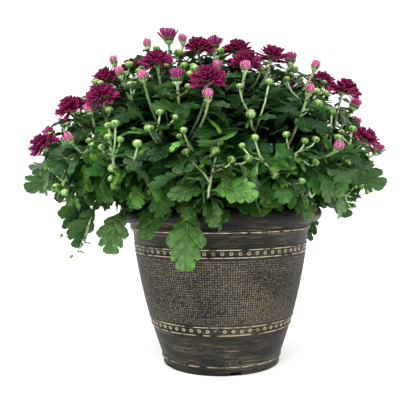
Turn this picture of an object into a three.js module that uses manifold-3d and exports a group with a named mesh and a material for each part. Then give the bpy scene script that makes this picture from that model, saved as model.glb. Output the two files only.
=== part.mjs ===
// A potted garden chrysanthemum in a lipped plastic pot: pot, potting mix, leafy stems and flower heads.
// Millimetres, +Z up, origin at the centre of the pot's flat base. Azimuth 0 faces -Y, and +90 faces +X.
import * as THREE from "three";
import { mergeVertices } from "three/addons/utils/BufferGeometryUtils.js";
import Module from "manifold-3d";

const wasm = await Module();
wasm.setup();

// Driving dimensions.
const POT_SIDES = 32;
const LIP_RADIUS = 105; // the widest part of the pot, at its rolled lip
const POT_HEIGHT = 162;
const BASE_RADIUS = 60;
const POT_WALL = 2.4;
const FLOOR_THICK = 3;
const FLOOR_FILLET = 1.5; // how much the wall thickens inside, at the floor
const BAND_HEIGHTS = [46, 120.5]; // middle of the two beaded bands
const BAND_HALF = 3.6;
const BAND_PROUD = 0.8;
const BAND_SLOPE = 0.8; // height over which a band rises from the wall
const WALL_LINE = [
  [61.2, 8],
  [62.8, 11.5],
  [73.4, 46],
  [78.6, 66],
  [84.8, 95],
  [88, 120.5],
  [90.8, 138],
]; // radius and height of the plain outer wall, foot to collar
const LIP_LINE = [
  [-11.6, 139.5],
  [-11.2, 145],
  [-4.5, 146.5],
  [0, 152],
  [-4.5, 159],
  [-12, POT_HEIGHT],
  [-16.5, 157],
]; // the rolled lip, its radius counted from LIP_RADIUS
const DRAIN = { count: 5, width: 13, height: 3.2, depth: 14, firstAzimuth: 12 };

const SOIL_LEVEL = 147;
const SOIL_SIDES = 20;
const SOIL_RING = 46; // radius of the ring of corners in its top
const SOIL_CROWN = 2; // how much higher it is in the middle
const SOIL_LUMP = 1.4;
const SOIL_GAP = 1; // between the mix and the wall, at the corners of the mix
const FIT_GAP = 0.4; // between pieces that rest against each other
const STEM_SUNK = 22; // how deep a stem stands in the mix
const HOLE_SIDES = 5;
const HOLE_CLEARANCE = 1.4; // at the corners of the hole

const DOME = { x: -14, y: 0, z: 200, reach: 168, rise: 118 }; // the surface that the flower heads lie on
const UPRIGHT_SHARE = 0.5; // how far a head leans from vertical towards the dome's own slope

const STEM_SIDES = 5;
const STEM_RADIUS = { foot: 3, tip: 1.9 };
const STEM_POINT = 0.6; // how much thinner the very tip is
const STEM_NODES = [0.38, 0.52, 0.66, 0.8, 0.93]; // shares of a main stem where it bends and bears leaves
const OUTER_POLAR = 60; // stems that end lower than this arch outwards more
const STEM_ARCH = { straight: 26, along: 0.42, outerShare: 0.78, innerShare: 0.6 }; // how a main stem bends
const SHOOT_SIDES = 4;
const BUD_SIDES = 4;
const SHOOT_RADIUS = 1.3;
const SHOOT_LEAD = [0.1, 0.36]; // a shoot leaves its stem this share before the place nearest to its end
const SHOOT_BEND = 0.58; // share of a shoot where its straight stretches meet
const SHOOT_RANGE = [0.42, 0.94]; // the part of a main stem that bears shoots
const SHOOT_BOW = 0.12; // sideways bow of each further try, as a share of its length
const SHOOT_STEP = 0.07; // and how much further up the stem it starts
const SHOOT_LEAVING = 0.3; // share of its length over which it turns away from the stem
const SHOOT_ARRIVING = 0.35; // and over which it turns into the direction of its head
const SHOOT_TRIES = 9;
const BUD_RADIUS = 3.6;
const CLEAR = 0.5; // the least gap between pieces of different nodes

const PETIOLE = 15; // of a plain leaf
const HELD_SHARE = 0.7; // of a leaf stalk may touch the other pieces of its own stem
const PETIOLE_HALF = 0.7;
const BLADE_THICK = 0.9;
const LEAF_FOLD = 0.22; // how much a blade rises away from its midrib
const LEAF_TRIES = 7;
const LEAF_STEP = { turn: 13, rise: 11, shrink: 0.05 }; // what changes from one try to the next
const SHOOT_LEAF_SHARE = 0.32; // of the shoots carry a leaf
const SKIRT_POLAR = 62; // shoots that end lower than this have longer, flatter leaves
const SHOOT_LEAF = {
  place: 0.35, // up the stretch between the shoot's bend and its head
  turn: [15, 75],
  rise: [8, 36],
  skirtRise: [-12, 18],
  droop: [20, 48],
  roll: [0, 22],
  blade: [28, 38],
  skirtBlade: [38, 48],
};
const STEM_LEAF = { turn: [28, 66], rise: [-4, 18], droop: [34, 66], roll: [0, 18], blade: [42, 54] };
const GOLDEN_ANGLE = 137.508;

// Numbers that look random but never change.
const draw = (a, b) => {
  const wave = Math.sin(a * 127.1 + b * 311.7 + 17.3) * 43758.5453;
  return wave - Math.floor(wave);
};
const within = (low, high, a, b) => low + (high - low) * draw(a, b);

// Small geometry helpers.
const rad = THREE.MathUtils.degToRad;
const heading = (azimuth) => new THREE.Vector3(Math.sin(rad(azimuth)), -Math.cos(rad(azimuth)), 0);

function onDome(azimuth, polar, lift = 1) {
  const out = heading(azimuth).multiplyScalar(DOME.reach * Math.sin(rad(polar)) * lift);
  return out.add(new THREE.Vector3(DOME.x, DOME.y, DOME.z + DOME.rise * Math.cos(rad(polar)) * lift));
}

function facingAt(azimuth, polar) {
  const slope = Math.atan2(Math.sin(rad(polar)) / DOME.reach, Math.cos(rad(polar)) / DOME.rise);
  const lean = slope * UPRIGHT_SHARE;
  return heading(azimuth).multiplyScalar(Math.sin(lean)).setZ(Math.cos(lean));
}

// A closed three.js geometry as a manifold-3d solid.
function solid(geometry) {
  geometry.deleteAttribute("normal");
  geometry.deleteAttribute("uv");
  const merged = mergeVertices(geometry, 1e-3);
  return new wasm.Manifold(
    new wasm.Mesh({
      numProp: 3,
      vertProperties: merged.attributes.position.array,
      triVerts: new Uint32Array(merged.index.array),
    }),
  );
}

function geometryOf(made) {
  const mesh = made.getMesh();
  const corners = new Float32Array(mesh.numVert * 3);
  for (let i = 0; i < mesh.numVert; i++) {
    corners.set(mesh.vertProperties.subarray(i * mesh.numProp, i * mesh.numProp + 3), i * 3);
  }
  const geometry = new THREE.BufferGeometry();
  geometry.setAttribute("position", new THREE.BufferAttribute(corners, 3));
  geometry.setIndex(new THREE.BufferAttribute(mesh.triVerts, 1));
  geometry.computeVertexNormals();
  return geometry;
}

// A lathe about Z from [radius, height] points that run upwards outside. reshape may move each vertex.
function turned(points, sides, reshape = null) {
  const profile = points.map(([r, z]) => new THREE.Vector2(r, z));
  const lathe = new THREE.LatheGeometry(profile, sides).rotateX(Math.PI / 2);
  lathe.deleteAttribute("normal");
  lathe.deleteAttribute("uv");
  const geometry = mergeVertices(lathe, 1e-3);
  if (reshape) {
    const place = geometry.attributes.position;
    for (let i = 0; i < place.count; i++) {
      const p = reshape(new THREE.Vector3().fromBufferAttribute(place, i));
      place.setXYZ(i, p.x, p.y, p.z);
    }
  }
  return geometry;
}

// Places along a curve with two directions square to it, carried along without twisting.
function framesAlong(curve, shares) {
  const first = curve.getTangentAt(shares[0]);
  let side = Math.abs(first.z) < 0.9 ? new THREE.Vector3(0, 0, 1) : new THREE.Vector3(1, 0, 0);
  return shares.map((share) => {
    const along = curve.getTangentAt(share);
    side = side.clone().addScaledVector(along, -side.dot(along)).normalize();
    return { centre: curve.getPointAt(share), side, across: along.clone().cross(side) };
  });
}

// A round shoot along a curve: stations are [share of the curve's length, radius], and its ends are closed.
// fatter makes the same shoot thicker, to test the room round it.
function shoot(curve, stations, sides, fatter = 0) {
  const frames = framesAlong(curve, stations.map(([share]) => share));
  const rings = stations.map(([, radius], i) => [radius + fatter, i]);
  const bent = turned([[0, 0], ...rings, [0, stations.length - 1]], sides, (p) => {
    const { centre, side, across } = frames[Math.round(p.z)];
    return centre.clone().addScaledVector(side, p.x).addScaledVector(across, p.y);
  });
  return solid(bent);
}

const fuse = (solids) => solids.reduce((whole, next) => whole.add(next));

// Pot.
// The radius at a height on a line of [radius, height] points that run upwards.
function radiusOn(line, z) {
  const next = Math.max(1, line.findIndex(([, height]) => height >= z));
  const [r0, z0] = line[next - 1];
  const [r1, z1] = line[next];
  return r0 + ((r1 - r0) * (z - z0)) / (z1 - z0);
}

const wallRadius = (z) => radiusOn(WALL_LINE, z);
const lip = LIP_LINE.map(([inwards, height]) => [LIP_RADIUS + inwards, height]);
const inside = [
  [wallRadius(12) - POT_WALL - FLOOR_FILLET, FLOOR_THICK],
  [wallRadius(66) - POT_WALL, 66],
  [wallRadius(120) - POT_WALL, 120],
  lip[lip.length - 1],
]; // the inner wall, floor to lip

function band(middle) {
  const [low, high] = [middle - BAND_HALF, middle + BAND_HALF];
  return [
    [wallRadius(low), low],
    [wallRadius(low) + BAND_PROUD, low + BAND_SLOPE],
    [wallRadius(high) + BAND_PROUD, high - BAND_SLOPE],
    [wallRadius(high), high],
  ];
}

function potSolid() {
  const foot = [
    [0, 0],
    [BASE_RADIUS - 1.5, 0],
    [BASE_RADIUS + 0.6, 2],
  ];
  const shell = [
    ...foot,
    ...WALL_LINE.slice(0, 2),
    ...band(BAND_HEIGHTS[0]),
    [wallRadius(84), 84],
    ...band(BAND_HEIGHTS[1]),
    WALL_LINE[WALL_LINE.length - 1],
    ...lip,
    ...inside.slice(0, -1).toReversed(),
    [0, FLOOR_THICK],
  ];
  let made = solid(turned(shell, POT_SIDES));
  for (let i = 0; i < DRAIN.count; i++) {
    const azimuth = DRAIN.firstAzimuth + (i * 360) / DRAIN.count;
    const middle = heading(azimuth).multiplyScalar(BASE_RADIUS);
    const notch = new THREE.BoxGeometry(DRAIN.width, DRAIN.depth, DRAIN.height * 2)
      .rotateZ(rad(azimuth))
      .translate(middle.x, middle.y, 0);
    made = made.subtract(solid(notch));
  }
  return made;
}

// Plan of the plant: what grows where, the same on every run.
// Leafy stems: azimuth and polar angle of the tip on the dome, how far towards it the stem reaches, and the
// distance of its foot from the middle of the pot.
const STEMS = [
  ...[-17, 34, 80, 126, 171, -144, -99, -58].map((azimuth) => ({ azimuth, polar: 82, reach: 0.8, foot: 40 })),
  ...[20, 110, -160, -70].map((azimuth) => ({ azimuth, polar: 42, reach: 0.62, foot: 17 })),
];

// Flower heads: kind, azimuth, polar angle and lift from the dome.
const HEADS = [
  ["open", -22, 41, 1],
  ["open", -77, 28, 0.96],
  ["open", -55, 44, 0.96],
  ["open", 1, 55, 1],
  ["open", -55, 63, 0.98],
  ["open", -65, 80, 1],
  ["open", -7, 17, 1],
  ["open", 31, 21, 1],
  ["open", 19, 41, 0.98],
  ["open", 37, 36, 1.02],
  ["open", 78, 45, 1],
  ["open", 66, 55, 1.04],
  ["open", 69, 78, 0.98],
  ["open", -38, 60, 0.98],
  ["open", 112, 40, 0.98],
  ["open", 104, 62, 1],
  ["open", 144, 30, 0.98],
  ["open", 146, 62, 1],
  ["open", 180, 48, 0.98],
  ["open", -148, 58, 1],
  ["open", -142, 30, 0.98],
  ["open", -106, 50, 1],
  ["half", -33, 20, 1.09],
  ["half", -88, 72, 1],
  ["half", -10, 53, 0.98],
  ["half", 78, 61, 1.02],
  ["half", 88, 68, 0.98],
  ["half", 84, 83, 1.04],
  ["half", 55, 35, 1.02],
  ["half", 18, 10, 1.02],
  ["half", 172, 26, 1],
  ["half", -120, 72, 1],
  ["pink", -45, 25, 1.08],
  ["pink", -32, 13, 1.08],
  ["pink", -60, 35, 1.04],
  ["pink", -37, 47, 1],
  ["pink", -23, 52, 1],
  ["pink", 1, 64, 1],
  ["pink", -41, 66, 0.98],
  ["pink", -44, 79, 1],
  ["pink", 6, 41, 0.94],
  ["pink", 15, 49, 1.02],
  ["pink", 55, 44, 1.06],
  ["pink", 38, 59, 1],
  ["pink", 41, 84, 1],
];
const HEAD_NAMES = { open: "open_bloom", half: "half_open_bloom", pink: "pink_bud" };
const GREEN_BUDS = { count: 51, turn: 220, firstPolar: 14, lastPolar: 98, apart: 28, lift: 0.93 };

// Large leaves low on the plant: which main stem, how far up it, and how they are set.
const FEATURE_LEAVES = [
  { stem: 6, share: 0.95, azimuth: -88, rise: -19, droop: 15, roll: 38, petiole: 29, blade: 47 },
  { stem: 6, share: 0.88, azimuth: -62, rise: 2, droop: 14, roll: -11, petiole: 30, blade: 45 },
  { stem: 7, share: 0.83, azimuth: -113, rise: -31, droop: 60, roll: 19, petiole: 40, blade: 45 },
  { stem: 7, share: 0.59, azimuth: -36, rise: -30, droop: 55, roll: -8, petiole: 49, blade: 40 },
  { stem: 7, share: 0.73, azimuth: -91, rise: -47, droop: 23, roll: 27, petiole: 49, blade: 42 },
  { stem: 0, share: 0.56, azimuth: -5, rise: -38, droop: 37, roll: 0, petiole: 41, blade: 56 },
  { stem: 0, share: 0.47, azimuth: -48, rise: -11, droop: 56, roll: 0, petiole: 30, blade: 49 },
  { stem: 0, share: 0.33, azimuth: -72, rise: 6, droop: 14, roll: -28, petiole: 15, blade: 36 },
  { stem: 0, share: 0.36, azimuth: 52, rise: 18, droop: 12, roll: 63, petiole: 22, blade: 40 },
  { stem: 0, share: 0.5, azimuth: 44, rise: -12, droop: 14, roll: 16, petiole: 40, blade: 50 },
  { stem: 0, share: 0.66, azimuth: -37, rise: 49, droop: 63, roll: -73, petiole: 14, blade: 36 },
  { stem: 1, share: 0.56, azimuth: 50, rise: 3, droop: 78, roll: 11, petiole: 32, blade: 38 },
  { stem: 2, share: 0.7, azimuth: 82, rise: 0, droop: 24, roll: -42, petiole: 37, blade: 49 },
  { stem: 2, share: 0.49, azimuth: 97, rise: 6, droop: 61, roll: -25, petiole: 46, blade: 40 },
  { stem: 3, share: 0.58, azimuth: 118, rise: -26, droop: 52, roll: 6, petiole: 44, blade: 50 },
  { stem: 3, share: 0.9, azimuth: 150, rise: -14, droop: 44, roll: 20, petiole: 26, blade: 48 },
  { stem: 4, share: 0.56, azimuth: 166, rise: -30, droop: 46, roll: 0, petiole: 44, blade: 54 },
  { stem: 4, share: 0.86, azimuth: -168, rise: -16, droop: 40, roll: -16, petiole: 28, blade: 46 },
  { stem: 5, share: 0.58, azimuth: -152, rise: -28, droop: 50, roll: -8, petiole: 44, blade: 48 },
  { stem: 5, share: 0.92, azimuth: -120, rise: -12, droop: 38, roll: 18, petiole: 26, blade: 50 },
];

function terminals() {
  const counts = {};
  const list = HEADS.map(([kind, azimuth, polar, lift], key) => {
    counts[kind] = (counts[kind] ?? 0) + 1;
    const name = `${HEAD_NAMES[kind]}_${String(counts[kind]).padStart(2, "0")}`;
    return { kind, azimuth, polar, lift, key, name };
  });
  for (let i = 0; i < GREEN_BUDS.count; i++) {
    const share = (i + 0.5) / GREEN_BUDS.count;
    const [first, last] = [GREEN_BUDS.firstPolar, GREEN_BUDS.lastPolar].map((angle) => Math.cos(rad(angle)));
    const polar = THREE.MathUtils.radToDeg(Math.acos(first + (last - first) * share));
    const azimuth = ((i * GOLDEN_ANGLE + GREEN_BUDS.turn) % 360) - 180;
    const lift = GREEN_BUDS.lift + within(-0.05, 0.03, i, 5);
    const bud = { kind: "green", azimuth, polar, lift, key: 100 + i };
    const place = onDome(azimuth, polar, lift);
    const gap = (other) => onDome(other.azimuth, other.polar, other.lift).distanceTo(place);
    if (list.every((other) => gap(other) > GREEN_BUDS.apart)) list.push(bud);
  }
  return list;
}

// Main stems.
// Straight up through the mix, then an arch outwards that ends under the dome.
function stemPath({ azimuth, polar, reach, foot }) {
  const ground = heading(azimuth).multiplyScalar(foot).setZ(SOIL_LEVEL);
  const deep = ground.clone().setZ(SOIL_LEVEL - STEM_SUNK);
  const tip = onDome(azimuth, polar, reach);
  const rise = ground.clone().setZ(SOIL_LEVEL + STEM_ARCH.straight);
  const share = polar > OUTER_POLAR ? STEM_ARCH.outerShare : STEM_ARCH.innerShare;
  const bend = ground.clone().lerp(tip, STEM_ARCH.along).setZ(SOIL_LEVEL + (tip.z - SOIL_LEVEL) * share);
  const path = new THREE.CurvePath();
  path.add(new THREE.LineCurve3(deep, ground));
  path.add(new THREE.CubicBezierCurve3(ground, rise, bend, tip));
  return path;
}

function stemSolid(path, fatter = 0) {
  const underground = STEM_SUNK / path.getLength();
  const { foot, tip } = STEM_RADIUS;
  const stations = [0, underground, ...STEM_NODES].map((share) => [share, foot + (tip - foot) * share]);
  return shoot(path, [...stations, [1, tip * STEM_POINT]], STEM_SIDES, fatter);
}

// Shoots that leave a main stem and end in a cup of bracts or in a closed bud.
// The last stations of each kind: [millimetres before the end, radius].
const SHOOT_ENDS = {
  open: [[5.5, SHOOT_RADIUS], [3, 4.6], [0, 6]],
  half: [[5.5, SHOOT_RADIUS], [3, 4], [0, 5]],
  pink: [[4.5, SHOOT_RADIUS], [2.5, 3.1], [0, 3.4]],
  green: [[8, SHOOT_RADIUS], [4, BUD_RADIUS], [0, BUD_RADIUS * 0.5]],
};

function nearestShare(path, place) {
  const shares = Array.from({ length: 13 }, (_, i) => i / 12);
  const gap = (share) => path.getPointAt(share).distanceTo(place);
  return shares.reduce((best, share) => (gap(share) < gap(best) ? share : best));
}

// The k-th way to bring a shoot to its terminal: it leaves the stem lower or higher and bows to one side.
function shootCurve(path, terminal, k) {
  const { azimuth, polar, lift, key } = terminal;
  const [end, facing] = [onDome(azimuth, polar, lift), facingAt(azimuth, polar)];
  const step = Math.ceil(k / 2) * (k % 2 ? -1 : 1);
  const nearest = nearestShare(path, end);
  const wanted = nearest - within(...SHOOT_LEAD, key, 18) + step * SHOOT_STEP;
  const share = THREE.MathUtils.clamp(wanted, ...SHOOT_RANGE);
  const start = path.getPointAt(share);
  const length = start.distanceTo(end);
  const bow = heading(azimuth + 90).multiplyScalar(step * SHOOT_BOW * length);
  const away = end.clone().sub(start).normalize().add(path.getTangentAt(share)).normalize();
  const leaving = start.clone().addScaledVector(away, length * SHOOT_LEAVING).add(bow);
  const arriving = end.clone().addScaledVector(facing, -length * SHOOT_ARRIVING);
  return new THREE.CubicBezierCurve3(start, leaving, arriving, end);
}

function shootSolid(curve, kind, fatter = 0) {
  const length = curve.getLength();
  const upper = SHOOT_ENDS[kind].map(([back, radius]) => [1 - back / length, radius]);
  const stations = [[0, SHOOT_RADIUS], [SHOOT_BEND, SHOOT_RADIUS], ...upper];
  return shoot(curve, stations, kind === "green" ? BUD_SIDES : SHOOT_SIDES, fatter);
}

// Leaves.
// Half of a blade's outline: share of the blade's length, and half-width as a share of it.
const LEAF_EDGE = { lobe: [0.33, 0.27], sinus: [0.46, 0.15], shoulder: [0.68, 0.32] };
const MIDRIB = 0.55; // share of the blade where its midrib is bent

// A lobed leaf that arches along its heading, folded a little at the midrib. Both faces are alike.
// start leaves out this share of the stalk, to test the room round the rest.
function leafSolid({ root, azimuth, rise, droop, roll, petiole, blade }, fatter = 0, start = 0) {
  const [from, turn] = [rad(rise), -rad(droop)];
  const ahead = heading(azimuth);
  const length = petiole + blade;
  const half = BLADE_THICK / 2 + fatter;
  const flatSide = ahead.clone().cross(new THREE.Vector3(0, 0, 1));
  const stalk = PETIOLE_HALF + fatter;
  const shares = [[start * petiole, stalk], [petiole, stalk]];
  for (const [along, across] of [LEAF_EDGE.lobe, LEAF_EDGE.sinus, LEAF_EDGE.shoulder]) {
    shares.push([petiole + along * blade, across * blade + fatter]);
  }
  const tip = [length + fatter * 2, 0];
  // up one side to the tip and back down the other, then the midrib
  const outline = [...shares, tip, ...shares.toReversed().map(([along, across]) => [along, -across])];
  const corners = [...outline, [petiole + MIDRIB * blade, 0]];
  const rib = outline.length;
  const last = rib - 2; // corner of the blade next to the stalk, as corner 1 is on the other side
  const blades = outline.slice(1, last).map((_, i) => [i + 1, i + 2, rib]);
  const faces = [[0, 1, last], [0, last, last + 1], ...blades, [last, 1, rib]];
  const places = [];
  for (const face of [1, -1]) {
    for (const [along, across] of corners) {
      const angle = from + (turn * along) / length;
      const bent = root.clone().addScaledVector(ahead, (length / turn) * (Math.sin(angle) - Math.sin(from)));
      bent.z -= (length / turn) * (Math.cos(angle) - Math.cos(from));
      const forward = ahead.clone().multiplyScalar(Math.cos(angle)).setZ(Math.sin(angle));
      const side = flatSide.clone().applyAxisAngle(forward, rad(roll));
      const normal = side.clone().cross(forward);
      bent.addScaledVector(side, across).addScaledVector(normal, Math.abs(across) * LEAF_FOLD + face * half);
      places.push(...bent);
    }
  }
  const count = corners.length;
  const upper = faces.flat();
  const lower = faces.flatMap(([a, b, c]) => [a + count, c + count, b + count]);
  const rim = outline.flatMap((_, i) => {
    const next = (i + 1) % outline.length;
    return [i, i + count, next + count, i, next + count, next];
  });
  const geometry = new THREE.BufferGeometry();
  geometry.setAttribute("position", new THREE.BufferAttribute(new Float32Array(places), 3));
  geometry.setIndex([...upper, ...lower, ...rim]);
  return solid(geometry);
}

// The k-th way to set a leaf: turned, tilted and a little smaller.
function leafTry(leaf, k) {
  const step = Math.ceil(k / 2) * (k % 2 ? -1 : 1);
  return {
    ...leaf,
    azimuth: leaf.azimuth + LEAF_STEP.turn * step,
    rise: leaf.rise + LEAF_STEP.rise * (k % 3),
    blade: leaf.blade * (1 - LEAF_STEP.shrink * k),
  };
}

// Flower heads.
// Half-sections as [radius, height, which sides have the petals]: a petal stands on every other side, and the
// sides between are drawn in by gap, so that each layer has its petals over the gaps of the layer below.
// room is a plain outline round the head that everything else stays out of.
const [EVEN, ODD] = [0, 1];
const ROOM_SIDES = 8;
const HEAD_SHAPES = {
  open: {
    petals: 8,
    gap: 0.68,
    section: [[0, 0], [17.6, 5.4, EVEN], [7, 6.6], [15.8, 11.2, ODD], [6, 12], [10.6, 16.4, EVEN], [0, 15.6]],
    room: [[6.6, 0], [18.8, 3.6], [18.8, 6.6], [16.8, 12.4], [11.6, 17.4], [0, 18.4]],
  },
  half: {
    petals: 6,
    gap: 0.76,
    section: [[0, 0], [4.4, 0], [9.5, 12.6, EVEN], [9.3, 13.3, EVEN], [4, 11.5], [5.6, 15.2, ODD], [0, 13.5]],
    room: [[5.4, 0], [10.6, 12], [10, 14.4], [6, 16.4], [0, 16.4]],
  },
  pink: {
    petals: 4,
    gap: 0.86,
    section: [[0, 0], [3.4, 0], [4.7, 4], [3.6, 8, EVEN], [0, 9.5]],
    room: [[4.2, 0], [5.4, 4], [4.6, 9], [0, 10.6]],
  },
};

function headSolid(kind, key) {
  const { petals, gap, section } = HEAD_SHAPES[kind];
  const head = turned(section.map(([radius], level) => [radius, level]), petals * 2, (p) => {
    const [, height, stands] = section[Math.round(p.z)];
    const side = Math.round((Math.atan2(p.x, -p.y) * petals) / Math.PI) & 1;
    const share = stands === undefined || side === stands ? 1 : gap;
    return new THREE.Vector3(p.x * share, p.y * share, height);
  });
  return solid(head.rotateZ(rad(within(0, 360, key, 20))));
}

// The same turn and place for a head and for the room round it.
function headPose({ azimuth, polar, lift }) {
  const facing = facingAt(azimuth, polar);
  const upright = new THREE.Quaternion().setFromUnitVectors(new THREE.Vector3(0, 0, 1), facing);
  return { upright, place: onDome(azimuth, polar, lift).addScaledVector(facing, FIT_GAP) };
}

function headRoom(terminal) {
  const { upright, place } = headPose(terminal);
  const room = turned([[0, 0], ...HEAD_SHAPES[terminal.kind].room], ROOM_SIDES);
  return solid(room.applyQuaternion(upright).translate(place.x, place.y, place.z));
}

// Potting mix.
function soilSolid() {
  const bottom = FLOOR_THICK + FIT_GAP;
  const side = [bottom, 66, 120, SOIL_LEVEL - 1].map((z) => [radiusOn(inside, z) - SOIL_GAP, z]);
  const profile = [[0, bottom], ...side, [SOIL_RING, SOIL_LEVEL], [0, SOIL_LEVEL + SOIL_CROWN]];
  const mix = turned(profile, SOIL_SIDES, (p) => {
    const inTop = p.z > SOIL_LEVEL - 0.5 && Math.hypot(p.x, p.y) > 1;
    const lump = inTop ? within(-SOIL_LUMP, SOIL_LUMP, Math.round(p.x), Math.round(p.y)) : 0;
    return new THREE.Vector3(p.x, p.y, p.z + lump);
  });
  return STEMS.reduce((left, { azimuth, foot }) => {
    const middle = heading(azimuth).multiplyScalar(foot);
    const radius = STEM_RADIUS.foot + HOLE_CLEARANCE;
    const [low, high] = [SOIL_LEVEL - STEM_SUNK - 1, SOIL_LEVEL + 20];
    const hole = turned([[0, low], [radius, low], [radius, high], [0, high]], HOLE_SIDES);
    return left.subtract(solid(hole.translate(middle.x, middle.y, 0)));
  }, solid(mix));
}

// Growing the plant.
const standing = []; // every solid that is already there

function boxesMeet(a, b) {
  return [0, 1, 2].every((axis) => a.min[axis] <= b.max[axis] && b.min[axis] <= a.max[axis]);
}

function hasRoom(fat, mindful) {
  const box = fat.boundingBox();
  return standing.filter(mindful).every(({ made, box: other }) => {
    return !boxesMeet(box, other) || fat.intersect(made).isEmpty();
  });
}

function stand(owner, made) {
  standing.push({ owner, made, box: made.boundingBox() });
}

// Grows one shoot from the stem it suits best, and returns its curve, or nothing where there is no room.
function growShoot(terminal, stems) {
  const end = onDome(terminal.azimuth, terminal.polar, terminal.lift);
  const near = stems.toSorted((a, b) => a.tip.distanceTo(end) - b.tip.distanceTo(end)).slice(0, 2);
  for (const stem of near) {
    for (let k = 0; k < SHOOT_TRIES; k++) {
      const curve = shootCurve(stem.path, terminal, k);
      const fat = shootSolid(curve, terminal.kind, CLEAR);
      if (!hasRoom(fat, ({ owner }) => owner !== stem.name && owner !== terminal.name)) continue;
      const made = shootSolid(curve, terminal.kind);
      stem.pieces.push(made);
      stand(stem.name, made);
      stem.shoots.push({ curve, terminal });
      return true;
    }
  }
  return false;
}

function growLeaf(leaf, stem) {
  for (let k = 0; k < LEAF_TRIES; k++) {
    const set = leafTry(leaf, k);
    if (!hasRoom(leafSolid(set, CLEAR), ({ owner }) => owner !== stem.name)) continue;
    if (!hasRoom(leafSolid(set, 0, HELD_SHARE), ({ owner }) => owner === stem.name)) continue;
    const made = leafSolid(set);
    stem.pieces.push(made);
    stand(stem.name, made);
    return true;
  }
  return false;
}

// Away from the middle of the plant, seen from above.
function outwards(place) {
  return THREE.MathUtils.radToDeg(Math.atan2(place.x - DOME.x, -(place.y - DOME.y)));
}

// The leaf that a shoot carries about half-way up, if it has one.
function shootLeaf({ curve, terminal: { kind, polar, key } }) {
  const [low, high] = [SHOOT_BEND, 1 - SHOOT_ENDS[kind][0][0] / curve.getLength()];
  const root = curve.getPointAt(low).lerp(curve.getPointAt(high), SHOOT_LEAF.place);
  const side = draw(key, 2) < 0.5 ? -1 : 1;
  const skirt = polar > SKIRT_POLAR;
  return {
    root,
    azimuth: outwards(root) + side * within(...SHOOT_LEAF.turn, key, 3),
    rise: within(...(skirt ? SHOOT_LEAF.skirtRise : SHOOT_LEAF.rise), key, 4),
    droop: within(...SHOOT_LEAF.droop, key, 6),
    roll: side * within(...SHOOT_LEAF.roll, key, 8),
    petiole: PETIOLE,
    blade: within(...(skirt ? SHOOT_LEAF.skirtBlade : SHOOT_LEAF.blade), key, 7),
  };
}

// The larger leaves on a main stem, alternating from side to side.
function stemLeaf(stem, index, i) {
  const root = stem.path.getPointAt(STEM_NODES[i + 1]).lerp(stem.path.getPointAt(STEM_NODES[i + 2]), 0.5);
  const side = (index + i) % 2 ? -1 : 1;
  const key = index * 10 + i;
  return {
    root,
    azimuth: stem.azimuth + side * within(...STEM_LEAF.turn, key, 11),
    rise: within(...STEM_LEAF.rise, key, 12),
    droop: within(...STEM_LEAF.droop, key, 13),
    roll: side * within(...STEM_LEAF.roll, key, 14),
    petiole: PETIOLE,
    blade: within(...STEM_LEAF.blade, key, 15),
  };
}

function growPlant() {
  const stems = STEMS.map((plan, i) => {
    const path = stemPath(plan);
    const name = `leafy_stem_${String(i + 1).padStart(2, "0")}`;
    const made = stemSolid(path);
    stand(name, made);
    const tip = path.getPointAt(SHOOT_RANGE[1]);
    return { name, path, azimuth: plan.azimuth, tip, pieces: [made], shoots: [] };
  });
  const all = terminals();
  const heads = all.filter(({ kind }) => kind !== "green");
  for (const head of heads) stand(head.name, headRoom(head));
  for (const terminal of all) {
    const grown = growShoot(terminal, stems);
    if (!grown && terminal.kind !== "green") throw new Error(`no room for ${terminal.name}`);
  }
  for (const { stem, share, ...leaf } of FEATURE_LEAVES) {
    growLeaf({ ...leaf, root: stems[stem].path.getPointAt(share) }, stems[stem]);
  }
  stems.forEach((stem, index) => {
    for (let i = 0; i < STEM_NODES.length - 2; i++) growLeaf(stemLeaf(stem, index, i), stem);
  });
  for (const stem of stems) {
    for (const branch of stem.shoots) {
      if (draw(branch.terminal.key, 9) < SHOOT_LEAF_SHARE) growLeaf(shootLeaf(branch), stem);
    }
  }
  return { stems, heads };
}

// The finished assembly.
const FINISHES = {
  pot: { color: 0x3a352f, roughness: 0.45, metalness: 0.25 },
  soil: { color: 0x2b211a, roughness: 0.95, metalness: 0 },
  stem: { color: 0x4b7a34, roughness: 0.6, metalness: 0 },
  open: { color: 0x8e1160, roughness: 0.7, metalness: 0 },
  half: { color: 0xa42a74, roughness: 0.7, metalness: 0 },
  pink: { color: 0xd878aa, roughness: 0.7, metalness: 0 },
};

function piece(name, made, finish) {
  const mesh = new THREE.Mesh(geometryOf(made), new THREE.MeshStandardMaterial(FINISHES[finish]));
  mesh.name = name;
  return mesh;
}

const plant = new THREE.Group();
const pot = potSolid();
const soil = soilSolid();
stand("pot", pot);
stand("potting_mix", soil);
plant.add(piece("pot", pot, "pot"), piece("potting_mix", soil, "soil"));
const { stems, heads } = growPlant();
for (const { name, pieces } of stems) plant.add(piece(name, fuse(pieces), "stem"));
for (const head of heads) {
  const bloom = piece(head.name, headSolid(head.kind, head.key), head.kind);
  const { upright, place } = headPose(head);
  bloom.quaternion.copy(upright);
  bloom.position.copy(place);
  plant.add(bloom);
}

export default plant;
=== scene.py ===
import bpy, bmesh, math
from mathutils import Matrix, Vector
from mathutils.kdtree import KDTree


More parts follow.
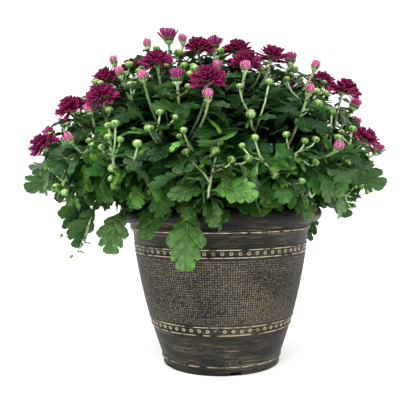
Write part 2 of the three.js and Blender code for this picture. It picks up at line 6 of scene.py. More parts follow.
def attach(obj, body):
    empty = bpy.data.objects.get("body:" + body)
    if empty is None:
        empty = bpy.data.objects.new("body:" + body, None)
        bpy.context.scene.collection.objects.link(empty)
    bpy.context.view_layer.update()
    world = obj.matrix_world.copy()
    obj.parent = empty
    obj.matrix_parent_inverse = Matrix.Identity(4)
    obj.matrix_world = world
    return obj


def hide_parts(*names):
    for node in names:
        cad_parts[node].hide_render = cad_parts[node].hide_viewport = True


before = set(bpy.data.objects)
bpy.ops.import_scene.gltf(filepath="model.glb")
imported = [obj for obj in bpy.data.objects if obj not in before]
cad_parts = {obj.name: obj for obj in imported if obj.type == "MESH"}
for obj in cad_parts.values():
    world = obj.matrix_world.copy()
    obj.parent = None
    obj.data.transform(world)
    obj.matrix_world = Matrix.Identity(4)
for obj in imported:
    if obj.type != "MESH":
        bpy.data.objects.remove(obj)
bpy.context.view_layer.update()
mm = 0.001  # everything below is worked out in millimetres, and each finished piece is scaled by this
up = Vector((0, 0, 1))
radians = math.radians
fullTurn = 2 * math.pi
goldenAngle = 137.508  # turning by this spreads any number of things evenly


def clamp(value, low=0, high=1):
    return max(low, min(high, value))


# camera, floor and light
view = {
    "cameraPlace": (-12.3, -629, 180),
    "pitchDown": 1.86,
    "roll": 0.6,
    "lens": 51.92,
    "sensorWidth": 36,
    "farthest": 50,  # metres, as are the floor's and the lights' sizes and places
    "floorColour": (0.97, 0.97, 0.97, 1),
    # painted shade: the floor under the pot is dark; painted light: elsewhere the floor glows, which lifts
    # the shadows on it
    "paintedShadeUnderPot": (12, 12, 11),
    "floorRoughness": 0.9,
    "floorPaintedGlow": 0.3,
    "underPot": (58, 61),  # mm from the pot's axis: within them the floor is painted dark as shade and has no painted glow
    "floorHalf": 6,
    "floorRows": 40,
    "floorShift": 2,
    "sweep": {"start": 3, "radius": 1.5, "end": 5.36},  # measured along the floor
    "worldStrength": 1.0,
    "lightTarget": (0, 0, 0.2),
    "lights": (  # name, place, size, power
        ("keyLight", (-0.5, -1.2, 1.9), 1.5, 42),
        ("fillLight", (1.4, -1.0, 0.9), 1.2, 4),
    ),
}


def addCamera():
    data = bpy.data.cameras.new("camera")
    data.lens = view["lens"]
    data.sensor_width = view["sensorWidth"]
    data.clip_end = view["farthest"]
    camera = bpy.data.objects.new("camera", data)
    bpy.context.scene.collection.objects.link(camera)
    camera.location = Vector(view["cameraPlace"]) * mm
    camera.rotation_euler = (radians(90 - view["pitchDown"]), radians(view["roll"]), 0)
    bpy.context.scene.camera = camera


def addLight(name, place, size, power):
    data = bpy.data.lights.new(name, "AREA")
    data.shape = "DISK"
    data.size = size
    data.energy = power
    light = bpy.data.objects.new(name, data)
    light.location = place
    light.rotation_euler = (Vector(view["lightTarget"]) - Vector(place)).to_track_quat("-Z", "Y").to_euler()
    bpy.context.scene.collection.objects.link(light)


def addFloor():
    bm = bmesh.new()
    bmesh.ops.create_grid(bm, x_segments=1, y_segments=view["floorRows"], size=view["floorHalf"])
    start, radius, end = (view["sweep"][name] for name in ("start", "radius", "end"))
    for v in bm.verts:  # the floor sweeps up into a backdrop far behind
        run = v.co.y + view["floorShift"]
        turn = clamp((run - start) / radius, 0, math.pi / 2)
        v.co.y = min(run, start + radius * math.sin(turn))
        v.co.z = radius * (1 - math.cos(turn)) + max(0, run - end)
    mesh = bpy.data.meshes.new("floor")
    bm.to_mesh(mesh)
    bm.free()
    floor = bpy.data.objects.new("floor", mesh)
    bpy.context.scene.collection.objects.link(floor)
    mesh.materials.append(floorMaterial())


def floorMaterial():
    r = Recipe("floorPaper", view["floorRoughness"])
    # painted shade on the floor under the pot, and a painted glow of the floor everywhere else
    lit = r.mask(r.length(r.object), *[radius * mm for radius in view["underPot"]])
    r.set(Base_Color=r.mix(lit, shade(view["paintedShadeUnderPot"]), view["floorColour"]))
    r.set(Emission_Color=view["floorColour"])
    r.set(Emission_Strength=r.times(lit, view["floorPaintedGlow"]))
    return r.material


def addStudio():
    world = bpy.data.worlds.new("studio")
    world.use_nodes = True
    background = world.node_tree.nodes["Background"]
    background.inputs["Color"].default_value = (1, 1, 1, 1)
    background.inputs["Strength"].default_value = view["worldStrength"]
    bpy.context.scene.world = world
    for light in view["lights"]:
        addLight(*light)
    bpy.context.scene.view_settings.view_transform = "Standard"


class Recipe:
    # a short way to lay a material's nodes: most calls return the output socket of their new node
    def __init__(self, name, roughness=0.5):
        self.material = bpy.data.materials.new(name)
        self.material.use_nodes = True
        self.tree = self.material.node_tree
        self.shader = self.tree.nodes["Principled BSDF"]
        self.object = self.node("ShaderNodeTexCoord").outputs["Object"]
        self.set(Roughness=roughness)

    def feed(self, socket, value):
        if isinstance(value, bpy.types.NodeSocket):
            self.tree.links.new(value, socket)
        else:
            socket.default_value = value

    def node(self, kind, inputs=(), **settings):
        added = self.tree.nodes.new(kind)
        for key, value in settings.items():
            setattr(added, key, value)
        for key, value in dict(inputs).items():
            self.feed(added.inputs[key], value)
        return added

    def noise(self, scale, detail=3, stretch=None):
        source = self.object
        if stretch:
            source = self.node("ShaderNodeMapping", {"Vector": source, "Scale": stretch}).outputs["Vector"]
        inputs = {"Vector": source, "Scale": scale, "Detail": detail}
        return self.node("ShaderNodeTexNoise", inputs).outputs["Fac"]

    def ramp(self, value, places, looks):
        added = self.node("ShaderNodeValToRGB", {"Fac": value})
        while len(added.color_ramp.elements) < len(places):
            added.color_ramp.elements.new(0.5)
        for element, place, look in zip(added.color_ramp.elements, places, looks):
            element.position = place
            element.color = shade(look)
        return added.outputs["Color"]

    def mask(self, value, low, high):
        inputs = {"Value": value, "From Min": low, "From Max": high}
        return self.node("ShaderNodeMapRange", inputs, clamp=True).outputs["Result"]

    def mix(self, share, first, second):
        # by number, because the colour sockets of this node share their names with others
        return self.node("ShaderNodeMix", {0: share, 6: first, 7: second}, data_type="RGBA").outputs[2]

    def math(self, operation, first, second=0.0):
        return self.node("ShaderNodeMath", {0: first, 1: second}, operation=operation).outputs[0]

    def times(self, first, second):
        return self.math("MULTIPLY", first, second)

    def plus(self, first, second):
        return self.math("ADD", first, second)

    def larger(self, first, second):
        return self.math("MAXIMUM", first, second)

    def waves(self, share, count):
        # a cosine that runs through this many waves while the share goes from 0 to 1
        return self.math("COSINE", self.times(share, fullTurn * count))

    def length(self, vector):
        return self.node("ShaderNodeVectorMath", {0: vector}, operation="LENGTH").outputs["Value"]

    def attribute(self, name):
        return self.node("ShaderNodeAttribute", attribute_name=name).outputs["Fac"]

    def outside(self, low, high):
        # 0 deep inside the plant and 1 at its outer surface
        rel = self.node("ShaderNodeVectorMath", {0: self.object, 1: plant["dome"] * mm}, operation="SUBTRACT")
        split = self.node("ShaderNodeSeparateXYZ", {0: rel.outputs[0]}).outputs
        x, y = (self.math("DIVIDE", split[i], plant["reach"] * mm) for i in (0, 1))
        above = self.math("DIVIDE", split[2], plant["rise"] * mm)
        below = self.math("DIVIDE", split[2], -plant["hang"] * mm)
        inputs = {0: x, 1: y, 2: self.larger(above, below)}
        away = self.node("ShaderNodeCombineXYZ", inputs).outputs[0]
        return self.mask(self.length(away), low, high)

    def height(self, low, high):
        split = self.node("ShaderNodeSeparateXYZ", {"Vector": self.object})
        return self.mask(split.outputs["Z"], low * mm, high * mm)

    def uv(self):
        split = self.node("ShaderNodeSeparateXYZ", {"Vector": self.node("ShaderNodeTexCoord").outputs["UV"]})
        return split.outputs["X"], split.outputs["Y"]

    def set(self, **sockets):
        for key, value in sockets.items():
            self.feed(self.shader.inputs[key.replace("_", " ")], value)

    def bump(self, height, strength, distance):
        inputs = {"Height": height, "Strength": strength, "Distance": distance}
        self.set(Normal=self.node("ShaderNodeBump", inputs).outputs["Normal"])


# shapes that are made once and stamped many times
templates = {}


def asTemplate(bm, name):
    mesh = bpy.data.meshes.new("template_" + name)
    bm.to_mesh(mesh)
    bm.free()
    return mesh


def gridBmesh(columns, rows):
    # a flat sheet with x and y from 0 to 1, and the same as its UVs
    bm = bmesh.new()
    bm.loops.layers.uv.new("UVMap")
    bmesh.ops.create_grid(bm, x_segments=columns, y_segments=rows, size=0.5, calc_uvs=True)
    bmesh.ops.translate(bm, verts=bm.verts, vec=(0.5, 0.5, 0))
    return bm


def tubeTemplate(stations, sides):
    # x is the station's number, y the share of the way round, and z marks the poles that close the ends
    key = ("tube", stations, sides)
    if key not in templates:
        bm = gridBmesh(stations + 1, sides)
        for v in bm.verts:
            angle = v.co.y * fullTurn
            v.co = Vector((round(v.co.x * (stations + 1)), math.cos(angle), math.sin(angle)))
            if v.co.x in (0, stations + 1):
                v.co.yz = (0, 0)
        bmesh.ops.remove_doubles(bm, verts=bm.verts, dist=1e-5)
        bmesh.ops.recalc_face_normals(bm, faces=bm.faces)
        templates[key] = asTemplate(bm, "tube")
    return templates[key]


def spinRound(bm, outline, steps):
    bmesh.ops.spin(bm, geom=outline, cent=(0, 0, 0), axis=up, angle=fullTurn, steps=steps, use_merge=True)
    bmesh.ops.remove_doubles(bm, verts=bm.verts, dist=1e-3)
    bmesh.ops.recalc_face_normals(bm, faces=bm.faces)


def turnedBmesh(profile, segments):
    # a closed round shape from (radius, height) points that begin and end on the axis
    bm = bmesh.new()
    corners = [bm.verts.new((radius, 0, z)) for radius, z in profile]
    edges = [bm.edges.new(pair) for pair in zip(corners, corners[1:])]
    spinRound(bm, corners + edges, segments)
    return bm


class Builder:
    # one piece in the making: stamps of templates, each moved by a formula and given a tone
    # nothing is deleted from its bmesh, so that the vertices stay in the order of the stamps
    def __init__(self):
        self.bm = bmesh.new()
        self.bm.loops.layers.uv.new("UVMap")
        self.tones = []  # of the vertices, in their order

    def stamp(self, template, place, tone, materialShift=0):
        firstVert, firstFace = len(self.bm.verts), len(self.bm.faces)
        self.bm.from_mesh(template)
        self.bm.verts.ensure_lookup_table()
        self.bm.faces.ensure_lookup_table()
        self.tones += [tone] * (len(self.bm.verts) - firstVert)
        for v in self.bm.verts[firstVert:]:
            v.co = place(v.co.copy())
        for face in self.bm.faces[firstFace:]:
            face.material_index += materialShift
            face.smooth = True

    def tube(self, way, stations, sides, tone, material, shape=None):
        # stations are [share of the way, radius]; shape may change a ring's outline
        rings = ringsAlong(way, [share for share, _ in stations])
        last = len(stations) - 1

        def place(p):
            index = clamp(round(p.x) - 1, 0, last)
            centre, side, across = rings[index]
            radius = stations[index][1]
            if round(p.x) != index + 1:
                return centre.copy()
            if shape:
                radius *= shape(index / last, math.atan2(p.z, p.y))
            return centre + side * (p.y * radius) + across * (p.z * radius)

        self.stamp(tubeTemplate(len(stations), sides), place, tone, material)

    def finish(self, name, nodes, materials):
        mesh = bpy.data.meshes.new(name)
        bmesh.ops.scale(self.bm, vec=(mm, mm, mm), verts=self.bm.verts)
        self.bm.to_mesh(mesh)
        self.bm.free()
        mesh.attributes.new("tone", "FLOAT", "POINT").data.foreach_set("value", self.tones)
        for material in materials:
            mesh.materials.append(material)
        piece = bpy.data.objects.new(name, mesh)
        bpy.context.scene.collection.objects.link(piece)
        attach(piece, "root")
        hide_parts(*nodes)


class Way:
    # a curve, measured along its length
    def __init__(self, corners, straight=None):
        self.corners = corners  # of a cubic
        self.straight = straight  # the start of a straight stretch before it
        self.lead = (corners[0] - straight).length if straight else 0
        self.steps = 60
        points = [self.cubic(i / self.steps) for i in range(self.steps + 1)]
        self.lengths = [0]
        for a, b in zip(points, points[1:]):
            self.lengths.append(self.lengths[-1] + (b - a).length)
        self.length = self.lead + self.lengths[-1]

    def cubic(self, t):
        a, b, c, d = self.corners
        s = 1 - t
        return a * s ** 3 + b * (3 * s * s * t) + c * (3 * s * t * t) + d * t ** 3

    def at(self, share):
        run = share * self.length - self.lead
        if run < 0:
            return self.straight.lerp(self.corners[0], 1 + run / self.lead)
        index = 1
        while index < self.steps and self.lengths[index] < run:
            index += 1
        low, high = self.lengths[index - 1], self.lengths[index]
        return self.cubic((index - 1 + (run - low) / (high - low)) / self.steps)

    def tangent(self, share):
        low, high = max(0, share - 1e-3), min(1, share + 1e-3)
        return (self.at(high) - self.at(low)).normalized()


def ringsAlong(way, shares):
    first = way.tangent(shares[0])
    side = Vector((0, 0, 1)) if abs(first.z) < 0.9 else Vector((1, 0, 0))
    rings = []
    for share in shares:
        along = way.tangent(share)
        side = (side - along * side.dot(along)).normalized()
        rings.append((way.at(share), side, along.cross(side)))
    return rings


# the plan of the plant: the same rules and the same draws as the solids have
plant = {
    "dome": Vector((-14, 0, 200)),  # the middle of the dome that the heads lie on
    "reach": 168,  # its radius
    "rise": 118,  # its height over the middle
    "hang": 72,  # how far leaves reach below it
    "uprightShare": 0.5,  # 0 is a head that looks straight up, 1 one that looks square out of the dome
    "soilLevel": 147,
    "stemSunk": 22,
    "stemRadius": (3, 1.9),
    "stemNodes": (0.38, 0.52, 0.66, 0.8, 0.93),
    "outerPolar": 60,  # stems that lean out further than this rise in a higher arch
    "arch": {"straight": 26, "along": 0.42, "outerShare": 0.78, "innerShare": 0.6},
    "shootRadius": 1.3,
    "shootSpots": 12,  # places along a stem that are tried as the nearest one
    "shootLead": (0.1, 0.36),  # how far below it the shoot leaves, as a share of the stem
    "shootBend": 0.58,
    "shootEnds": (0.3, 0.35),  # shares of its length over which it leaves straight and arrives straight
    "lowestShoot": 0.42,
    "highestShoot": 0.94,
    "shootBow": 0.12,
    "shootStep": 0.07,  # how far up or down the stem the next try is
    "shootTries": 9,
    "shootFar": 1.5,  # green buds whose shoot is further than this from the solids have none there
    "leafTries": 7,
    "leafTry": (13, 11, 0.05),  # turn and rise in degrees, and how much shorter, from try to try
    "leafFar": 0.4,  # a leaf whose tip is further than this from the solids isn't there
    "petiole": 15,
    "bladeThick": 0.9,
    "leafFold": 0.22,
    "leafUp": 0.35,  # share of the way from a shoot's bend to its neck
    "skirtPolar": 62,  # shoots further out than this have longer, lower leaves
    "shootLeafShare": 0.32,
    "longLeaf": 5,  # the one of the large leaves that hangs over the lip in front
}
# azimuth, polar angle, reach and distance of the foot from the pot's axis
stemPlans = [(azimuth, 82, 0.8, 40) for azimuth in (-17, 34, 80, 126, 171, -144, -99, -58)]
stemPlans += [(azimuth, 42, 0.62, 17) for azimuth in (20, 110, -160, -70)]
featureLeaves = [  # main stem, share up it, azimuth, rise, droop, roll, petiole, blade
    (6, 0.95, -88, -19, 15, 38, 29, 47),
    (6, 0.88, -62, 2, 14, -11, 30, 45),
    (7, 0.83, -113, -31, 60, 19, 40, 45),
    (7, 0.59, -36, -30, 55, -8, 49, 40),
    (7, 0.73, -91, -47, 23, 27, 49, 42),
    (0, 0.56, -5, -38, 37, 0, 41, 56),
    (0, 0.47, -48, -11, 56, 0, 30, 49),
    (0, 0.33, -72, 6, 14, -28, 15, 36),
    (0, 0.36, 52, 18, 12, 63, 22, 40),
    (0, 0.5, 44, -12, 14, 16, 40, 50),
    (0, 0.66, -37, 49, 63, -73, 14, 36),
    (1, 0.56, 50, 3, 78, 11, 32, 38),
    (2, 0.7, 82, 0, 24, -42, 37, 49),
    (2, 0.49, 97, 6, 61, -25, 46, 40),
    (3, 0.58, 118, -26, 52, 6, 44, 50),
    (3, 0.9, 150, -14, 44, 20, 26, 48),
    (4, 0.56, 166, -30, 46, 0, 44, 54),
    (4, 0.86, -168, -16, 40, -16, 28, 46),
    (5, 0.58, -152, -28, 50, -8, 44, 48),
    (5, 0.92, -120, -12, 38, 18, 26, 50),
]
heads = [  # kind, azimuth, polar angle, lift from the dome
    ("open", -22, 41, 1), ("open", -77, 28, 0.96), ("open", -55, 44, 0.96), ("open", 1, 55, 1),
    ("open", -55, 63, 0.98), ("open", -65, 80, 1), ("open", -7, 17, 1), ("open", 31, 21, 1),
    ("open", 19, 41, 0.98), ("open", 37, 36, 1.02), ("open", 78, 45, 1), ("open", 66, 55, 1.04),
    ("open", 69, 78, 0.98), ("open", -38, 60, 0.98), ("open", 112, 40, 0.98), ("open", 104, 62, 1),
    ("open", 144, 30, 0.98), ("open", 146, 62, 1), ("open", 180, 48, 0.98), ("open", -148, 58, 1),
    ("open", -142, 30, 0.98), ("open", -106, 50, 1), ("half", -33, 20, 1.09), ("half", -88, 72, 1),
    ("half", -10, 53, 0.98), ("half", 78, 61, 1.02), ("half", 88, 68, 0.98), ("half", 84, 83, 1.04),
    ("half", 55, 35, 1.02), ("half", 18, 10, 1.02), ("half", 172, 26, 1), ("half", -120, 72, 1),
    ("pink", -45, 25, 1.08), ("pink", -32, 13, 1.08), ("pink", -60, 35, 1.04), ("pink", -37, 47, 1),
    ("pink", -23, 52, 1), ("pink", 1, 64, 1), ("pink", -41, 66, 0.98), ("pink", -44, 79, 1),
    ("pink", 6, 41, 0.94), ("pink", 15, 49, 1.02), ("pink", 55, 44, 1.06), ("pink", 38, 59, 1),
    ("pink", 41, 84, 1),
]
headNodes = {"open": "open_bloom", "half": "half_open_bloom", "pink": "pink_bud"}
greenBuds = {
    "count": 51,  # at the most: those too close to a head or to each other are left out
    "polar": (14, 98),
    "firstTurn": 220,
    "apart": 28,
    "lift": 0.93,
    "liftChange": (-0.05, 0.03),
}
neckLengths = {"open": 5.5, "half": 5.5, "pink": 4.5, "green": 8}  # mm below the shoot's end
plainLeaf = {  # the ranges of the leaves that follow the rule
    "shoot": {"turn": (15, 75), "rise": (8, 36), "droop": (20, 48), "roll": (0, 22), "blade": (28, 38)},
    "skirt": {"turn": (15, 75), "rise": (-12, 18), "droop": (20, 48), "roll": (0, 22), "blade": (38, 48)},
    "stem": {"turn": (28, 66), "rise": (-4, 18), "droop": (34, 66), "roll": (0, 18), "blade": (42, 54)},
}


def draw(a, b):
    # a share from 0 to 1, always the same for the same thing a and the same property b
    wave = math.sin(a * 127.1 + b * 311.7 + 17.3) * 43758.5453
    return wave - math.floor(wave)


def within(low, high, a, b):
    return low + (high - low) * draw(a, b)


def heading(azimuth):
    return Vector((math.sin(radians(azimuth)), -math.cos(radians(azimuth)), 0))


def onDome(azimuth, polar, lift=1):
    out = heading(azimuth) * (plant["reach"] * math.sin(radians(polar)) * lift)
    return plant["dome"] + out + up * (plant["rise"] * math.cos(radians(polar)) * lift)


def facingAt(azimuth, polar):
    slope = math.atan2(math.sin(radians(polar)) / plant["reach"], math.cos(radians(polar)) / plant["rise"])
    lean = slope * plant["uprightShare"]
    return heading(azimuth) * math.sin(lean) + up * math.cos(lean)


def terminalAt(kind, azimuth, polar, lift, key, node=None):
    # the end of a shoot, with the bloom or bud that it carries
    return {"kind": kind, "azimuth": azimuth, "polar": polar, "key": key, "node": node,
            "end": onDome(azimuth, polar, lift), "facing": facingAt(azimuth, polar)}


def allTerminals():
    counts = {}
    found = []
    for key, (kind, azimuth, polar, lift) in enumerate(heads):
        counts[kind] = counts.get(kind, 0) + 1
        found.append(terminalAt(kind, azimuth, polar, lift, key, f"{headNodes[kind]}_{counts[kind]:02d}"))
    first, last = (math.cos(radians(polar)) for polar in greenBuds["polar"])
    for i in range(greenBuds["count"]):
        polar = math.degrees(math.acos(first + (last - first) * (i + 0.5) / greenBuds["count"]))
        azimuth = (i * goldenAngle + greenBuds["firstTurn"]) % 360 - 180
        lift = greenBuds["lift"] + within(*greenBuds["liftChange"], i, 5)
        bud = terminalAt("green", azimuth, polar, lift, 100 + i)
        if all((other["end"] - bud["end"]).length > greenBuds["apart"] for other in found):
            found.append(bud)
    return found


def stemWay(azimuth, polar, reach, foot):
    arch = plant["arch"]
    level = plant["soilLevel"]
    ground = heading(azimuth) * foot + up * level
    tip = onDome(azimuth, polar, reach)
    share = arch["outerShare" if polar > plant["outerPolar"] else "innerShare"]
    bend = ground.lerp(tip, arch["along"])
    bend.z = level + (tip.z - level) * share
    rise = ground + up * arch["straight"]
    return Way([ground, rise, bend, tip], ground - up * plant["stemSunk"])


def trySide(k):
    # tries go to both sides in turn: 0, -1, 1, -2, 2
    return math.ceil(k / 2) * (-1 if k % 2 else 1)


def shootWay(stem, terminal, k):
    end, facing, key = terminal["end"], terminal["facing"], terminal["key"]
    step = trySide(k)
    spots = [i / plant["shootSpots"] for i in range(plant["shootSpots"] + 1)]
    nearest = min(spots, key=lambda share: (stem["way"].at(share) - end).length)
    share = nearest - within(*plant["shootLead"], key, 18) + step * plant["shootStep"]
    share = clamp(share, plant["lowestShoot"], plant["highestShoot"])
    start = stem["way"].at(share)
    length = (end - start).length
    away = ((end - start).normalized() + stem["way"].tangent(share)).normalized()
    bow = heading(terminal["azimuth"] + 90) * (step * plant["shootBow"] * length)
    leave, arrive = plant["shootEnds"]
    return Way([start, start + away * (length * leave) + bow, end - facing * (length * arrive), end])


def setLeaf(root, azimuth, rise, droop, roll, petiole, blade):
    return {"root": root, "azimuth": azimuth, "rise": rise, "droop": droop, "roll": roll, "petiole": petiole,
            "blade": blade, "broad": 1}


def leafTry(leaf, k):
    turn, lift, shorter = plant["leafTry"]
    return {**leaf, "azimuth": leaf["azimuth"] + turn * trySide(k), "rise": leaf["rise"] + lift * (k % 3),
            "blade": leaf["blade"] * (1 - shorter * k)}


def leafFrame(leaf, along):
    # place, side and normal on the arched midrib, a length along from the root
    length = leaf["petiole"] + leaf["blade"]
    start, turn = radians(leaf["rise"]), -radians(leaf["droop"])
    ahead = heading(leaf["azimuth"])
    angle = start + turn * along / length
    bow = length / turn
    place = leaf["root"] + ahead * (bow * (math.sin(angle) - math.sin(start)))
    place = place - up * (bow * (math.cos(angle) - math.cos(start)))
    forward = ahead * math.cos(angle) + up * math.sin(angle)
    side = ahead.cross(up)
    side.rotate(Matrix.Rotation(radians(leaf["roll"]), 3, forward))
    return place, side, side.cross(forward)


def outwards(place):
    return math.degrees(math.atan2(place.x - plant["dome"].x, -(place.y - plant["dome"].y)))


def shootLeaf(shoot):
    key, way = shoot["key"], shoot["way"]
    look = plainLeaf["skirt" if shoot["polar"] > plant["skirtPolar"] else "shoot"]
    neck = way.at(1 - neckLengths[shoot["kind"]] / way.length)
    root = way.at(plant["shootBend"]).lerp(neck, plant["leafUp"])
    side = -1 if draw(key, 2) < 0.5 else 1
    azimuth = outwards(root) + side * within(*look["turn"], key, 3)
    rise, droop = within(*look["rise"], key, 4), within(*look["droop"], key, 6)
    roll, blade = side * within(*look["roll"], key, 8), within(*look["blade"], key, 7)
    return setLeaf(root, azimuth, rise, droop, roll, plant["petiole"], blade)


def stemLeaf(stem, index, i):
    key = index * 10 + i
    look = plainLeaf["stem"]
    low, high = plant["stemNodes"][i + 1], plant["stemNodes"][i + 2]
    root = stem["way"].at(low).lerp(stem["way"].at(high), 0.5)
    side = -1 if (index + i) % 2 else 1
    azimuth = stem["azimuth"] + side * within(*look["turn"], key, 11)
    rise, droop = within(*look["rise"], key, 12), within(*look["droop"], key, 13)
    roll, blade = side * within(*look["roll"], key, 14), within(*look["blade"], key, 15)
    return setLeaf(root, azimuth, rise, droop, roll, plant["petiole"], blade)


def solidPoints(node):
    # the corners of a solid, to find out which of its possible settings each shoot and leaf has
    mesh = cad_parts[node].data
    tree = KDTree(len(mesh.vertices))
    for i, v in enumerate(mesh.vertices):
        tree.insert(v.co / mm, i)
    tree.balance()
    return tree


def nearestShoot(stems, terminal):
    # of the shoots that the rules allow, the one closest to a solid, and by how much it misses
    choices = []
    for stem in sorted(stems, key=lambda stem: (stem["tip"] - terminal["end"]).length)[:2]:
        for k in range(plant["shootTries"]):
            way = shootWay(stem, terminal, k)
            ring = stem["points"].find_n(way.at(plant["shootBend"]), 4)
            miss = sum(abs(distance - plant["shootRadius"]) for _, _, distance in ring)
            choices.append((miss, stem, way))
    return min(choices, key=lambda choice: choice[0])


def solidLeaf(stem, leaf):
    # the first of the leaf's tries whose tip lies on the solid
    for k in range(plant["leafTries"]):
        tried = leafTry(leaf, k)
        place, _, normal = leafFrame(tried, tried["petiole"] + tried["blade"])
        tip = place + normal * (plant["bladeThick"] / 2)
        if stem["points"].find(tip)[2] < plant["leafFar"]:
            return [tried]
    return []


def growPlan():
    stems = []
    for i, (azimuth, polar, reach, foot) in enumerate(stemPlans):
        node = f"leafy_stem_{i + 1:02d}"
        way = stemWay(azimuth, polar, reach, foot)
        stems.append({"node": node, "azimuth": azimuth, "way": way, "tip": way.at(plant["highestShoot"]),
                      "points": solidPoints(node), "shoots": [], "leaves": []})
    found = allTerminals()
    for terminal in found:
        miss, stem, way = nearestShoot(stems, terminal)
        if miss < plant["shootFar"] or terminal["kind"] != "green":
            stem["shoots"].append({**terminal, "way": way})
    for i, (index, share, *setting) in enumerate(featureLeaves):
        leaf = setLeaf(stems[index]["way"].at(share), *setting)
        leaf["broad"] = leafLook["slender" if i == plant["longLeaf"] else "broad"]
        stems[index]["leaves"] += solidLeaf(stems[index], leaf)
    for index, stem in enumerate(stems):
        wanted = [stemLeaf(stem, index, i) for i in range(len(plant["stemNodes"]) - 2)]
        leafy = [shoot for shoot in stem["shoots"] if draw(shoot["key"], 9) < plant["shootLeafShare"]]
        for leaf in wanted + [shootLeaf(shoot) for shoot in leafy]:
            stem["leaves"] += solidLeaf(stem, leaf)
    return stems, found


# a leaf is a tube pressed flat, whose rings reach out along the veins into lobes
leafLook = {
    # outlines: share of the blade up the midrib, reach of the vein from there, and its angle to the midrib
    "pointed": (
        (0.00, 0.03, 40), (0.07, 0.12, 50), (0.12, 0.28, 60), (0.17, 0.25, 50), (0.215, 0.17, 45),
        (0.25, 0.33, 56), (0.30, 0.43, 51), (0.345, 0.41, 44), (0.40, 0.33, 38), (0.445, 0.22, 38),
        (0.49, 0.35, 44), (0.54, 0.35, 39), (0.61, 0.24, 34), (0.67, 0.30, 34), (0.76, 0.20, 29),
        (0.87, 0.12, 24),
    ),
    "rounded": (
        (0.00, 0.03, 40), (0.07, 0.18, 60), (0.12, 0.28, 62), (0.165, 0.28, 52), (0.20, 0.16, 46),
        (0.24, 0.33, 62), (0.285, 0.43, 57), (0.33, 0.43, 50), (0.385, 0.26, 41), (0.44, 0.34, 51),
        (0.50, 0.40, 45), (0.555, 0.36, 38), (0.60, 0.24, 34), (0.67, 0.31, 34), (0.76, 0.23, 28),
        (0.87, 0.12, 24),
    ),
    "fine": (
        (0.00, 0.03, 40), (0.05, 0.15, 62), (0.08, 0.24, 66), (0.105, 0.26, 64), (0.12, 0.31, 62),
        (0.15, 0.31, 56), (0.175, 0.27, 50), (0.20, 0.16, 46), (0.22, 0.26, 62), (0.245, 0.37, 62),
        (0.265, 0.40, 59), (0.28, 0.46, 58), (0.31, 0.47, 54), (0.335, 0.44, 50), (0.36, 0.43, 45),
        (0.395, 0.25, 40), (0.42, 0.28, 50), (0.45, 0.37, 50), (0.475, 0.39, 47), (0.50, 0.43, 45),
        (0.535, 0.41, 41), (0.565, 0.37, 37), (0.60, 0.24, 34), (0.64, 0.31, 37), (0.68, 0.34, 34),
        (0.73, 0.29, 30), (0.78, 0.26, 27), (0.84, 0.18, 24), (0.90, 0.13, 22), (0.95, 0.06, 20),
    ),
    "slim": ((0.00, 0.03, 30), (0.16, 0.14, 38), (0.34, 0.26, 38), (0.50, 0.17, 30), (0.62, 0.23, 28),
             (0.84, 0.10, 18)),
    "roundShare": 0.45,  # of the plain leaves
    "broad": 1.22,  # the large leaves against the plain outline
    "slender": 0.8,  # the same for the long leaf in front
    "clearance": 9,  # kept free on both sides of a large leaf
    "halfThick": 0.28,
    "petioleHalf": 0.8,
    "ripple": 0.045,  # of the blade's length, at the edges
    "waves": 11,  # radians of it along the blade
    "wavesBegin": 6.28,  # radians at the most
    "wavesApart": 1.3,  # radians, of the two halves of the blade
    "lobeDrop": 0.10,
    "footThicker": 1.2,  # the midrib near the petiole against the tip
    "fineSides": 8,
    "plainSides": 4,
    # the points that stand for a leaf: shares of the blade's length, up from its foot and across
    "points": ((0.15, 0), (0.45, 0), (0.75, 0), (1, 0), (0.6, 0.28), (0.6, -0.28)),
    "slimPoints": ((0.5, 0), (1, 0)),
    "pointLift": 0.2,
    "keptShares": (0.15, 0.32, 0.5, 0.68, 0.85, 1),
    "keptAcross": (-0.28, -0.14, 0, 0.14, 0.28),
    "apart": 3.7,  # between the points of two leaves
    "slimApart": 2.4,
    "domeLimit": (1.01, 0.96),  # of the surface that the heads lie on, for leaves low and high on the plant
    "slimLimit": 1.02,
    "limitHeights": (210, 262),
    "lowest": (130, 109, 0.6),  # height; out from this radius it rises by this much for each mm
    "potRoom": (165, 107.5),  # height and radius of the pot's lip with some air
    "mixRoom": (151, 82),  # above this height and inside this radius a leaf may stand in the pot
}
headRoom = {  # kept free around each head or bud: from, to, radius
    "open": (-3, 20, 18),
    "half": (-4, 17, 11),
    "pink": (-4, 11, 7),
    "green": (-9, 2, 5),
}
headReach = 26  # further than this from its foot nothing is in a head


def leafTemplate(rings, sides):
    key = ("leaf", rings, sides)
    if key not in templates:
        bm = bmesh.new()
        bm.from_mesh(tubeTemplate(rings, sides))
        for edge in bm.edges:  # the rim stays crisp, so that the two faces of the leaf shade apart
            edge.smooth = not all(abs(v.co.z) < 1e-4 and 0 < v.co.x < rings + 1 for v in edge.verts)
        templates[key] = asTemplate(bm, "leaf")
    return templates[key]


